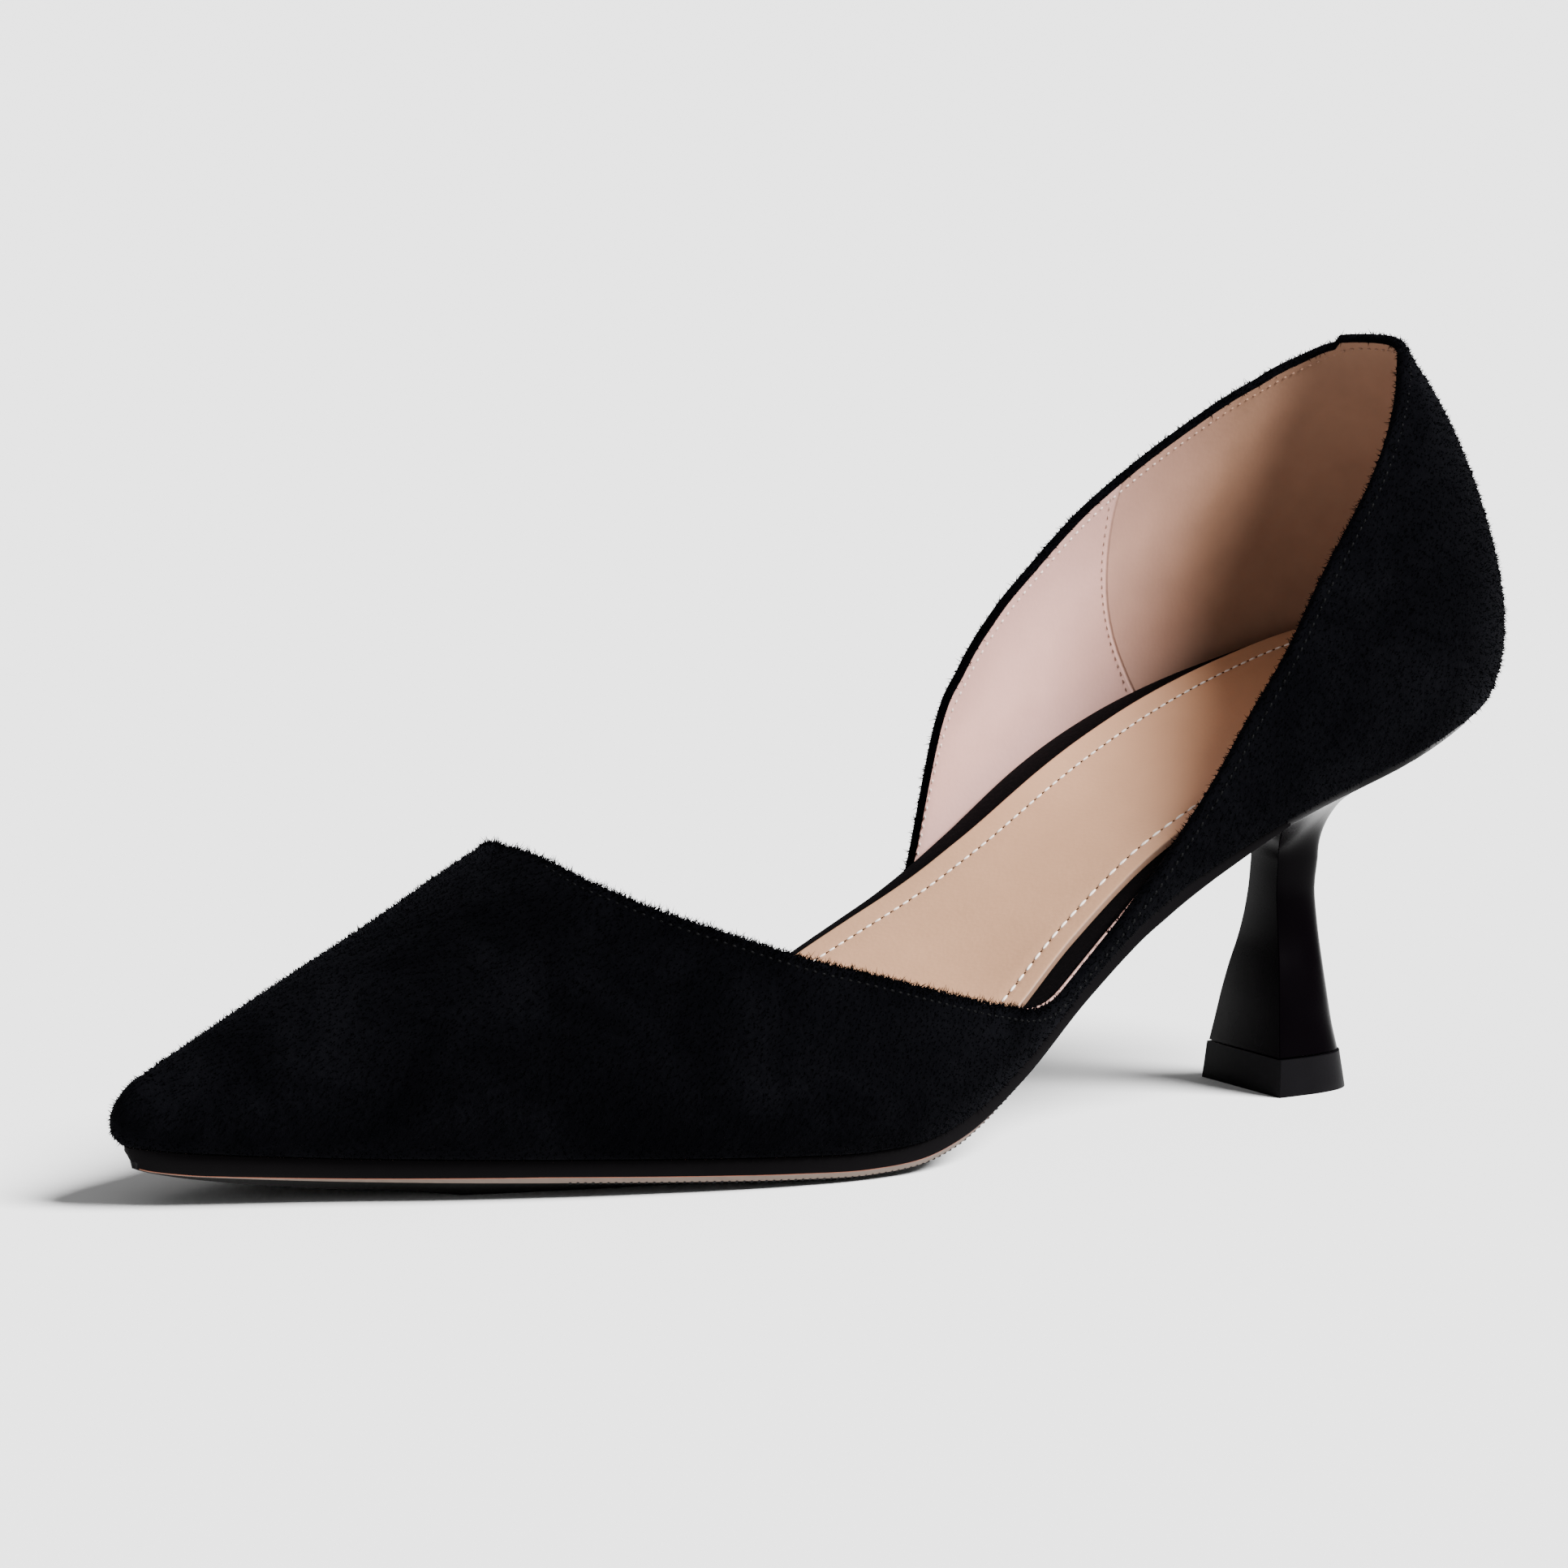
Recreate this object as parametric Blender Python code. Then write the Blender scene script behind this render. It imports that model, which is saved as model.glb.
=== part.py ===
"""A left d'Orsay pump in black suede: pointed toe, open waist, flared heel, tan sock.

The toe points to -X, the outer (lateral) side faces -Y and the shoe stands on z = 0.
Sections are read from short tables by station, the share of the feather line's length
measured from the back of the heel, and are worked out from the four driving sizes.
"""
import math
from collections import namedtuple

import bmesh
import bpy
from mathutils import Vector

MM = 0.001

# Driving sizes, millimetres.
LENGTH = 247.0        # feather line, back of the heel to the tip of the toe
BALL_WIDTH = 66.0     # sole across the ball
INSTEP = 52.0         # ridge of the vamp at the throat, above the floor
HEEL_HEIGHT = 64.0    # feather line at the back of the heel, above the floor

HEEL_BACK_X = 123.18  # where the feather line starts
ACROSS_SHIFT = 1.82   # heel's middle line, so that the whole shoe is centred
WALL = 1.8            # leather and lining together
FIT_GAP = 0.3         # clearance between pieces that lie on each other
TOE_ROUND = 10.0      # length over which the feather line closes at the toe
HEEL_ROUND = 28.0     # and at the heel
TOE_FAN = 242.0       # station the toe's columns lean to
HEEL_FAN = 32.0       # station the heel's columns lean to
THROAT = 181.0        # station of the throat, where the vamp's ridge ends
WALL_LEVELS = 9       # rows of faces between feather line and topline
LEVEL_POWER = 1.2     # crowds the rows towards the feather line
TAB_HALF_WIDTH = 9.3  # folded tab at the back of the collar
TAB_RISE = 1.0

SOLE_INSET = 0.4      # sole edge behind the feather line
SOLE_EDGE = 2.5       # height of the sole's painted edge
BEVEL_DROP = 1.2      # bare bevel under the painted edge
BEVEL_RUN = 2.5
BEVEL_SHARE = 0.75    # least share of the half width inside the bevel
FLAT_SHARE = 0.7      # share of the half width that lies flat

SOCK_THICK = 1.2
SOCK_CLEAR_SHARE = 0.2  # most of the bed's width given up to the sock's clearance
BOARD_TUCK = 0.6      # board's lower corner behind its side
TUCK_SHARE = 0.3      # the same at the narrow ends, as a share of the half width
BOARD_ROUND = 1.0     # rounding of the wrapped rim
ROUND_SHARE = 0.5     # the same, as a share of the rim
RIM_SHARE = 0.6       # most of the half width a rim may take
FULL_BED = 24.0       # board width from which its side and sag are fully shaped
BED_SHARES = (0.0, 0.25, 0.5, 0.75, 1.0)  # points across the bed

SEAT_INSET = 1.6      # heel seat behind the feather line
SEAT_RIM = 1.6        # height of the heel's upright rim under the seat
BREAST = 50.0         # station where the sole ends and the heel begins
FLARE_POWER = 2.1     # trumpet shape between neck and seat
FLARE_LEVELS = 10
HEEL_SQUARE = 3.2     # superellipse exponent of the heel's outline
HEEL_ARC = 13         # points along each half of the heel's outline
LIFT_TOP = 6.0

# Shape of the last. station: percent of LENGTH; half_width, swing: percent of BALL_WIDTH;
# feather (outer side) and tilt (rise of the inner side over it): percent of HEEL_HEIGHT;
# crown: percent of INSTEP; belly: bulge of the wall over the feather line and its height, mm.
Section = namedtuple("Section", "station half_width swing feather tilt crown belly belly_height")
LAST = [Section(*row) for row in (
    (0.0, 35.6, 0.0, 100.0, 0.0, 246.0, 3.0, 16.0),
    (6.1, 35.6, 0.0, 93.8, 1.9, 246.0, 3.0, 16.0),
    (12.1, 35.5, 0.0, 85.8, 3.8, 247.0, 2.8, 15.0),
    (18.2, 35.2, -0.2, 77.8, 5.3, 243.0, 2.5, 13.0),
    (24.3, 34.7, -0.9, 68.3, 7.2, 233.0, 2.0, 11.0),
    (30.4, 33.9, -2.3, 56.4, 9.2, 215.0, 1.6, 9.0),
    (36.4, 34.8, -4.7, 40.2, 11.0, 196.0, 1.6, 8.0),
    (42.5, 38.6, -7.9, 23.4, 12.5, 177.0, 2.0, 8.0),
    (47.0, 42.0, -9.4, 13.8, 12.8, 164.0, 2.4, 8.0),
    (51.0, 45.2, -9.7, 8.9, 9.8, 154.0, 2.6, 8.0),
    (55.5, 48.2, -7.9, 7.5, 4.6, 142.0, 2.8, 8.0),
    (60.7, 50.0, -4.2, 8.0, 1.6, 129.0, 2.8, 8.0),
    (66.8, 49.5, 0.8, 8.9, 0.3, 114.5, 2.8, 8.0),
    (73.7, 45.2, 5.0, 9.9, 0.0, 97.2, 2.8, 8.0),
    (81.0, 36.7, 7.9, 10.8, 0.0, 78.1, 2.8, 7.5),
    (87.4, 26.4, 9.8, 11.6, 0.0, 63.5, 2.7, 6.5),
    (93.9, 16.2, 10.3, 13.1, 0.0, 48.9, 2.4, 5.5),
    (98.0, 10.0, 10.4, 14.4, 0.0, 39.4, 2.2, 5.0),
    (100.0, 7.3, 10.3, 15.2, 0.0, 34.0, 2.2, 5.0),
)]

# Topline: how far round the section the leather reaches, in degrees (90 is the ridge).
Topline = namedtuple("Topline", "station outer inner")
TOPLINE = [Topline(*row) for row in (
    (0.0, 59.6, 59.6),
    (4.4, 56.4, 58.6),
    (7.8, 50.2, 55.7),
    (11.0, 42.6, 53.4),
    (14.5, 33.8, 50.1),
    (17.2, 27.7, 47.3),
    (20.4, 20.3, 44.6),
    (23.7, 14.8, 42.3),
    (26.4, 10.2, 41.0),
    (28.7, 7.1, 39.5),
    (30.4, 5.1, 38.1),
    (33.0, 3.4, 35.9),
    (35.5, 2.7, 31.0),
    (37.0, 2.5, 24.6),
    (38.1, 2.5, 8.0),
    (39.5, 2.8, 3.0),
    (41.2, 4.2, 2.8),
    (45.0, 9.8, 3.8),
    (49.0, 15.5, 9.5),
    (52.8, 20.2, 15.5),
    (56.2, 24.2, 21.0),
    (59.3, 28.0, 26.0),
    (62.2, 32.7, 31.4),
    (64.9, 38.1, 37.2),
    (67.5, 44.5, 44.0),
    (69.8, 53.2, 52.8),
    (71.7, 64.8, 64.6),
    (72.4, 72.8, 72.8),
    (72.9, 82.0, 82.0),
    (73.28, 90.0, 90.0),
)]

# Insole: board height at the outer and inner edge, curl of its inner rim, sag of its middle,
# and the width of black rim left round the sock, all mm.
Insole = namedtuple("Insole", "station outer_height inner_height curl sag outer_rim inner_rim")
INSOLE = [Insole(*row) for row in (
    (0.0, 8.6, 8.8, 0.0, 1.5, 1.3, 1.3),
    (8.0, 8.6, 9.9, 0.0, 1.8, 1.3, 1.3),
    (14.0, 8.2, 10.3, 0.3, 2.0, 1.4, 1.6),
    (20.0, 7.2, 10.1, 1.1, 2.0, 1.6, 2.6),
    (26.0, 5.7, 9.2, 2.0, 1.8, 2.2, 4.0),
    (32.0, 4.8, 8.1, 2.5, 1.4, 2.8, 4.6),
    (38.0, 4.6, 7.7, 2.3, 1.0, 2.9, 3.2),
    (44.0, 4.4, 8.4, 1.7, 0.7, 2.7, 2.0),
    (50.0, 4.0, 7.8, 0.9, 0.4, 2.4, 1.8),
    (56.0, 3.6, 5.3, 0.3, 0.2, 2.2, 1.9),
    (66.0, 3.1, 3.2, 0.0, 0.0, 2.0, 2.0),
    (100.0, 2.8, 2.8, 0.0, 0.0, 2.0, 2.0),
)]

# Side of the board: share of its height, and of the wall's bulge it follows there.
BoardSide = namedtuple("BoardSide", "rise follow")
BOARD_SIDE = [BoardSide(*row) for row in ((0.35, 0.45), (0.75, 0.8))]
CREST_FOLLOW = 0.8

# Outsole: how far its underside lies below the feather surface, mm; the floor cuts it off flat.
Body = namedtuple("Body", "station depth")
SOLE_BODY = [Body(*row) for row in (
    (20.0, 4.6),
    (48.0, 5.2),
    (54.0, 6.8),
    (60.0, 8.2),
    (76.0, 8.0),
    (82.0, 6.3),
    (88.0, 5.7),
    (94.0, 4.9),
    (100.0, 3.8),
)]

# Heel below its neck: height, station of the breast, depth and half width, mm.
HeelRing = namedtuple("HeelRing", "height breast depth half_width")
HEEL_RINGS = [HeelRing(*row) for row in (
    (37.0, 39.6, 9.4, 4.0),
    (32.0, 40.0, 9.1, 4.2),
    (28.0, 40.2, 9.4, 4.7),
    (24.0, 40.4, 10.0, 5.4),
    (19.5, 40.9, 10.9, 6.4),
    (15.0, 41.6, 12.0, 7.6),
    (10.5, 42.3, 13.1, 8.8),
    (6.3, 43.0, 14.2, 10.0),
)]
LIFT_RINGS = [HeelRing(*row) for row in (
    (LIFT_TOP, 43.4, 15.2, 10.8),
    (0.0, 44.0, 16.8, 11.35),
)]

# Where the sections are cut: from, to (mm from the heel's back) and the number of steps.
Run = namedtuple("Run", "start end steps")
RUNS = [Run(*row) for row in (
    (LENGTH - TOE_ROUND, THROAT, 12),
    (THROAT, 178.0, 2),
    (178.0, 100.0, 19),
    (100.0, 88.0, 10),
    (88.0, HEEL_ROUND, 15),
)]
END_STEPS = 8


def reading(rows, column, share):
    """Smooth value of a table's column at a share, in percent, of the length."""
    values = [getattr(row, column) for row in rows]
    places = [row.station for row in rows]
    if share <= places[0]:
        return values[0]
    if share >= places[-1]:
        return values[-1]
    rises = [(values[i + 1] - values[i]) / (places[i + 1] - places[i]) for i in range(len(rows) - 1)]

    def slope(i):
        if i == 0 or i == len(rows) - 1:
            return rises[min(i, len(rises) - 1)]
        before = places[i] - places[i - 1]
        after = places[i + 1] - places[i]
        return (rises[i - 1] * after + rises[i] * before) / (before + after)

    i = max(k for k in range(len(rows) - 1) if places[k] <= share)
    span = places[i + 1] - places[i]
    s = (share - places[i]) / span
    start = values[i] * (1 + 2 * s) + span * slope(i) * s
    end = values[i + 1] * (3 - 2 * s) - span * slope(i + 1) * (1 - s)
    return start * (1 - s) ** 2 + end * s ** 2


def last(column, station):
    """A column of the last's table at a station in millimetres, in millimetres."""
    unit = {"half_width": BALL_WIDTH, "swing": BALL_WIDTH, "feather": HEEL_HEIGHT,
            "tilt": HEEL_HEIGHT, "crown": INSTEP}.get(column, 100.0)
    return reading(LAST, column, 100.0 * station / LENGTH) * unit / 100.0


def topline(side, station):
    return reading(TOPLINE, "outer" if side < 0 else "inner", 100.0 * station / LENGTH)


def insole(column, station):
    return reading(INSOLE, column, 100.0 * station / LENGTH)


def closing(run, length):
    """Share of the width left where an outline closes in a quarter of an ellipse."""
    if run >= length:
        return 1.0
    return math.sqrt(max(0.0, 1.0 - (1.0 - max(run, 0.0) / length) ** 2))


def edge(station, side, inset=0.0):
    """Across-position of the feather line, or of a line inside it, on one side (-1 outer, +1 inner)."""
    step = 0.5
    lean = (last("half_width", station + step) - last("half_width", station - step)) / (2 * step)
    half = last("half_width", station) - inset * math.hypot(1.0, lean)
    ends = closing(LENGTH - inset - station, TOE_ROUND) * closing(station - inset, HEEL_ROUND)
    return last("swing", station) + side * half * ends


def drawn_in(station, inset):
    """Station moved so that a whole outline keeps clear of both ends by the inset."""
    return inset + station * (LENGTH - 2 * inset) / LENGTH


def seat(station, across):
    """Height of the surface the upper and the insole stand on."""
    share = 0.5 + 0.5 * (across - last("swing", station)) / last("half_width", station)
    return last("feather", station) + last("tilt", station) * min(1.0, max(0.0, share))


def belly(station, height):
    """How far the wall stands out over the feather line at a height above it."""
    x = height / last("belly_height", station)
    return last("belly", station) * x * math.exp(1.0 - x)


def place(station, across, height):
    return Vector((HEEL_BACK_X - station, across + ACROSS_SHIFT, height)) * MM


def wall_point(station, side, wrap):
    """Outer face of the upper: a point of the column at a station, wrapped so many degrees round."""
    foot = edge(station, side)
    spine = min(max(station, HEEL_FAN), TOE_FAN)
    spine_across = last("swing", spine)
    base = seat(station, foot)
    height = (last("crown", spine) - base) * math.sin(math.radians(wrap))
    reach = math.cos(math.radians(wrap))
    along, across = station - spine, foot - spine_across
    grow = reach * (1.0 + belly(station, height) / math.hypot(along, across))
    return place(spine + along * grow, spine_across + across * grow, base + height)


def stations():
    """Section stations from the tip of the toe to the back of the heel."""
    cut = [LENGTH - TOE_ROUND * (1 - math.cos(math.radians(90.0 * i / END_STEPS))) for i in range(END_STEPS)]
    for run in RUNS:
        cut += [run.start + (run.end - run.start) * i / run.steps for i in range(run.steps)]
    cut += [HEEL_ROUND * (1 - math.sin(math.radians(90.0 * i / END_STEPS))) for i in range(END_STEPS + 1)]
    return cut


def material(name, colour, roughness):
    skin = bpy.data.materials.new(name)
    skin.use_nodes = True
    shader = skin.node_tree.nodes["Principled BSDF"]
    shader.inputs["Base Color"].default_value = (*colour, 1.0)
    shader.inputs["Roughness"].default_value = roughness
    shader.inputs["Metallic"].default_value = 0.0
    return skin


def add_piece(name, shell, skin, crease=35.0):
    """Turns a closed bmesh into a named object with its material."""
    bmesh.ops.remove_doubles(shell, verts=shell.verts, dist=0.004 * MM)
    bmesh.ops.dissolve_degenerate(shell, edges=shell.edges, dist=0.002 * MM)
    bmesh.ops.triangulate(shell, faces=shell.faces, quad_method='SHORT_EDGE', ngon_method='BEAUTY')
    bmesh.ops.recalc_face_normals(shell, faces=shell.faces)
    mesh = bpy.data.meshes.new(name)
    shell.to_mesh(mesh)
    shell.free()
    mesh.materials.append(skin)
    mesh.shade_smooth()
    mesh.set_sharp_from_angle(angle=math.radians(crease))
    piece = bpy.data.objects.new(name, mesh)
    bpy.context.scene.collection.objects.link(piece)
    return piece


def loft(shell, rings, closed_ring=True):
    """Faces between neighbouring rings of vertices."""
    count = len(rings[0])
    for low, high in zip(rings, rings[1:]):
        for i in range(count if closed_ring else count - 1):
            j = (i + 1) % count
            shell.faces.new((low[i], low[j], high[j], high[i]))


def build_upper(skin):
    cut = stations()
    columns = [(s, -1) for s in cut] + [(s, 1) for s in reversed(cut[1:-1])]
    shell = bmesh.new()
    outer = []
    for station, side in columns:
        top = 90.0 if station >= THROAT else topline(side, station)
        wraps = [top * (j / WALL_LEVELS) ** LEVEL_POWER for j in range(WALL_LEVELS + 1)]
        column = [wall_point(station, side, wrap) for wrap in wraps]
        if abs(column[-1].y - ACROSS_SHIFT * MM) < TAB_HALF_WIDTH * MM and station < HEEL_FAN:
            column[-1].z += TAB_RISE * MM
        outer.append([shell.verts.new(point) for point in column])
    loft(shell, outer + outer[:1], closed_ring=False)
    bmesh.ops.recalc_face_normals(shell, faces=shell.faces)
    shell.normal_update()
    normals = {}
    for column in outer:
        for vert in column:
            key = tuple(round(c / MM, 2) for c in vert.co)
            normals.setdefault(key, Vector())
            normals[key] += vert.normal
    inner = []
    for (station, side), column in zip(columns, outer):
        inset = drawn_in(station, WALL)
        across = edge(inset, side, WALL)
        lining = [shell.verts.new(place(inset, across, seat(inset, across)))]
        for vert in column[1:]:
            normal = normals[tuple(round(c / MM, 2) for c in vert.co)].normalized()
            lining.append(shell.verts.new(vert.co - normal * WALL * MM))
        inner.append(lining)
    loft(shell, inner + inner[:1], closed_ring=False)
    for i, j in zip(range(len(columns)), [*range(1, len(columns)), 0]):
        shell.faces.new((outer[i][0], outer[j][0], inner[j][0], inner[i][0]))
        if max(columns[i][0], columns[j][0]) <= THROAT:
            shell.faces.new((outer[i][-1], outer[j][-1], inner[j][-1], inner[i][-1]))
    add_piece("upper", shell, skin, crease=50.0)


def build_outsole(skin):
    shell = bmesh.new()
    rings = []
    for cut in [s for s in stations() if s > BREAST + 1.0] + [BREAST + FIT_GAP]:
        station = min(cut, LENGTH - SOLE_INSET)
        middle = last("swing", station)
        depth = reading(SOLE_BODY, "depth", 100.0 * station / LENGTH)
        halves = []
        for side in (-1, 1):
            rim = edge(station, side, SOLE_INSET)
            half = abs(rim - middle)
            top = seat(station, rim) - FIT_GAP
            bevel = middle + side * max(half - BEVEL_RUN, BEVEL_SHARE * half)
            flat = middle + side * FLAT_SHARE * half
            under = max(0.0, seat(station, flat) - depth)
            bevel_foot = max(top - SOLE_EDGE - BEVEL_DROP, under)
            halves.append([place(station, rim, top), place(station, rim, top - SOLE_EDGE),
                           place(station, bevel, bevel_foot), place(station, flat, under)])
        rings.append([shell.verts.new(point) for point in halves[0] + halves[1][::-1]])
    loft(shell, rings)
    shell.faces.new(rings[0])
    shell.faces.new(rings[-1])
    add_piece("outsole", shell, skin)


def board_top(station, share, low, high):
    """Height of the board's upper face between its two rims; share runs from 0 (outer) to 1 (inner)."""
    outer = seat(station, low) + insole("outer_height", station)
    inner = seat(station, high) + insole("inner_height", station)
    sag = insole("sag", station) * min(1.0, (high - low) / FULL_BED)
    return outer + (inner - outer) * share - sag * 4.0 * share * (1.0 - share)


def board_limits(station):
    """Side faces of the board, and the lines where its bare rims end."""
    limits = []
    for side in (-1, 1):
        rim = edge(station, side, WALL + FIT_GAP)
        half = abs(rim - last("swing", station))
        width = insole("outer_rim" if side < 0 else "inner_rim", station)
        limits.append((rim, rim - side * min(width, RIM_SHARE * half)))
    return limits


def board_side(station, side, rim, bed, full):
    """Points up one side of the board, from its lower corner to the crest of its rim."""
    base = seat(station, rim)
    crest = insole("outer_height" if side < 0 else "inner_height", station)
    crest += insole("curl", station) if side > 0 else 0.0
    tuck = min(BOARD_TUCK, TUCK_SHARE * abs(rim - last("swing", station)))
    points = [place(station, rim - side * tuck, base)]
    for row in BOARD_SIDE:
        height = row.rise * crest
        points.append(place(station, rim + side * row.follow * full * belly(station, height), base + height))
    shoulder = min(BOARD_ROUND, ROUND_SHARE * abs(rim - bed))
    follow = CREST_FOLLOW * full * belly(station, crest)
    points.append(place(station, rim + side * (follow - shoulder), base + crest))
    return points


def build_board(skin):
    shell = bmesh.new()
    rings = []
    for whole in stations():
        station = drawn_in(whole, WALL + FIT_GAP)
        (outer, bed_low), (inner, bed_high) = board_limits(station)
        full = min(1.0, (inner - outer) / FULL_BED)
        bed = [place(station, bed_low + (bed_high - bed_low) * share, board_top(station, share, outer, inner))
               for share in BED_SHARES]
        points = board_side(station, -1, outer, bed_low, full) + bed
        points += board_side(station, 1, inner, bed_high, full)[::-1]
        rings.append([shell.verts.new(point) for point in points])
    loft(shell, rings)
    shell.faces.new(rings[0])
    shell.faces.new(rings[-1])
    add_piece("insole_board", shell, skin)


def build_sock(skin):
    shell = bmesh.new()
    rings = []
    for whole in stations():
        station = drawn_in(whole, WALL + FIT_GAP + insole("outer_rim", whole))
        (outer, bed_low), (inner, bed_high) = board_limits(station)
        clear = min(FIT_GAP, SOCK_CLEAR_SHARE * (bed_high - bed_low))
        low, high = bed_low + clear, bed_high - clear
        ring = []
        for lift in (FIT_GAP, FIT_GAP + SOCK_THICK):
            row = []
            for share in BED_SHARES:
                across = low + (high - low) * share
                bed_share = (across - bed_low) / max(bed_high - bed_low, 0.001)
                row.append(place(station, across, board_top(station, bed_share, outer, inner) + lift))
            ring.append(row)
        points = ring[0] + ring[1][::-1]
        rings.append([shell.verts.new(point) for point in points])
    loft(shell, rings)
    shell.faces.new(rings[0])
    shell.faces.new(rings[-1])
    add_piece("insole_sock", shell, skin)


def heel_outline(ring):
    """Points of a heel section, from the outer corner of the breast round the back to the inner one."""
    points = []
    for i in range(2 * HEEL_ARC + 1):
        turn = math.radians(-90.0 + 90.0 * i / HEEL_ARC)
        back = ring.depth * abs(math.cos(turn)) ** (2 / HEEL_SQUARE)
        across = math.copysign(abs(math.sin(turn)) ** (2 / HEEL_SQUARE), turn) * ring.half_width
        points.append((ring.breast - back, across, ring.height))
    return points


def seat_outline(drop):
    """The heel's edge under the feather line, ordered like heel_outline."""
    points = []
    for i in range(2 * HEEL_ARC + 1):
        side = -1 if i <= HEEL_ARC else 1
        turn = math.radians(90.0 * abs(i - HEEL_ARC) / HEEL_ARC)
        station = SEAT_INSET + (BREAST - SEAT_INSET) * (1 - math.cos(turn))
        across = edge(station, side, SEAT_INSET)
        points.append((station, across, seat(station, across) - FIT_GAP - drop))
    return points


def cap(shell, ring):
    """Closes a heel ring with strips straight across it."""
    end = len(ring) - 1
    for i in range(HEEL_ARC - 1):
        shell.faces.new((ring[i], ring[i + 1], ring[end - i - 1], ring[end - i]))
    shell.faces.new((ring[HEEL_ARC - 1], ring[HEEL_ARC], ring[HEEL_ARC + 1]))


def build_heel(skin):
    neck = heel_outline(HEEL_RINGS[0])
    rim = seat_outline(SEAT_RIM)
    outlines = [seat_outline(0.0)]
    for level in range(FLARE_LEVELS, 0, -1):
        rise = level / FLARE_LEVELS
        spread = rise ** FLARE_POWER
        grow = (spread, spread, rise)
        outlines.append([tuple(a + (b - a) * g for a, b, g in zip(low, high, grow))
                         for low, high in zip(neck, rim)])
    outlines += [heel_outline(ring) for ring in HEEL_RINGS]
    add_heel_piece("heel", outlines, skin)


def add_heel_piece(name, outlines, skin):
    shell = bmesh.new()
    rings = [[shell.verts.new(place(*point)) for point in outline] for outline in outlines]
    loft(shell, rings)
    cap(shell, rings[0])
    cap(shell, rings[-1])
    add_piece(name, shell, skin)


def main():
    for old in list(bpy.data.objects):
        bpy.data.objects.remove(old)
    build_upper(material("suede", (0.006, 0.006, 0.008), 0.95))
    build_outsole(material("sole_edge", (0.012, 0.011, 0.011), 0.5))
    build_board(material("wrapped_board", (0.008, 0.008, 0.010), 0.9))
    build_sock(material("sock_leather", (0.52, 0.36, 0.25), 0.6))
    build_heel(material("lacquered_heel", (0.006, 0.005, 0.006), 0.12))
    add_heel_piece("heel_lift", [heel_outline(ring) for ring in LIFT_RINGS],
                   material("heel_lift_rubber", (0.012, 0.011, 0.012), 0.6))


main()
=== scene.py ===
"""Looks of a left d'Orsay pump: black suede upper with a beige lining, tan sock, painted sole, glossy heel."""
import math
from collections import namedtuple
from functools import lru_cache

import bmesh
import bpy
import numpy as np
from bpy.props import FloatProperty, FloatVectorProperty, PointerProperty
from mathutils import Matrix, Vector


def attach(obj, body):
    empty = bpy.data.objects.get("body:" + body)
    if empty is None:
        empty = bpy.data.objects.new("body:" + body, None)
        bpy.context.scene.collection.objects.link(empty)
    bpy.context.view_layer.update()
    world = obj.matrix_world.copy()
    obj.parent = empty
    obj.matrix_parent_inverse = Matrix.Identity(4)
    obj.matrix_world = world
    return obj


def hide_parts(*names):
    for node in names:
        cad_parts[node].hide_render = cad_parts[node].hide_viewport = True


bl_info = {
    "name": "D'Orsay pump",
    "version": (1, 0, 0),
    "blender": (4, 5, 0),
    "location": "3D View > Sidebar > Pump",
    "description": "Suede, lining, stitching, sock, sole and heel over the pump's solids",
    "category": "Object",
}

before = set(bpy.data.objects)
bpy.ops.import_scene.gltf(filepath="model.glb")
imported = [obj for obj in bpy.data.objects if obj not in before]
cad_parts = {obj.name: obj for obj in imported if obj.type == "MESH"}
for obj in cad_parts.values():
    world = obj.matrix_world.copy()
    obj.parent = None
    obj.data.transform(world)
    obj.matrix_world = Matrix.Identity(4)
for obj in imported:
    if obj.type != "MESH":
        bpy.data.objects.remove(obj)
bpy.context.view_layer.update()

MM = 0.001


def table(columns, *rows):
    """Rows of numbers with named columns."""
    row = namedtuple("Row", columns)
    return [row(*values) for values in rows]


# Sizes of the solids, millimetres.
LENGTH = 247.0
BALL_WIDTH = 66.0
INSTEP = 52.0
HEEL_HEIGHT = 64.0
HEEL_BACK_X = 123.18
ACROSS_SHIFT = 1.82
FIT_GAP = 0.3
WALL = 1.8
TOE_ROUND = 10.0
HEEL_ROUND = 28.0
TOE_FAN = 242.0
HEEL_FAN = 32.0
THROAT = 181.0
LEVEL_POWER = 1.2
TAB_HALF_WIDTH = 9.3
TAB_RISE = 1.0
SOLE_INSET = 0.4
SOLE_EDGE = 2.5
BEVEL_DROP = 1.2
BEVEL_RUN = 2.5
BEVEL_SHARE = 0.75
FLAT_SHARE = 0.7
RIM_SHARE = 0.6
FULL_BED = 24.0
SEAT_INSET = 1.6
SEAT_RIM = 1.6
BREAST = 50.0
FLARE_POWER = 2.1
HEEL_SQUARE = 3.2
LIFT_TOP = 6.0

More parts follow.
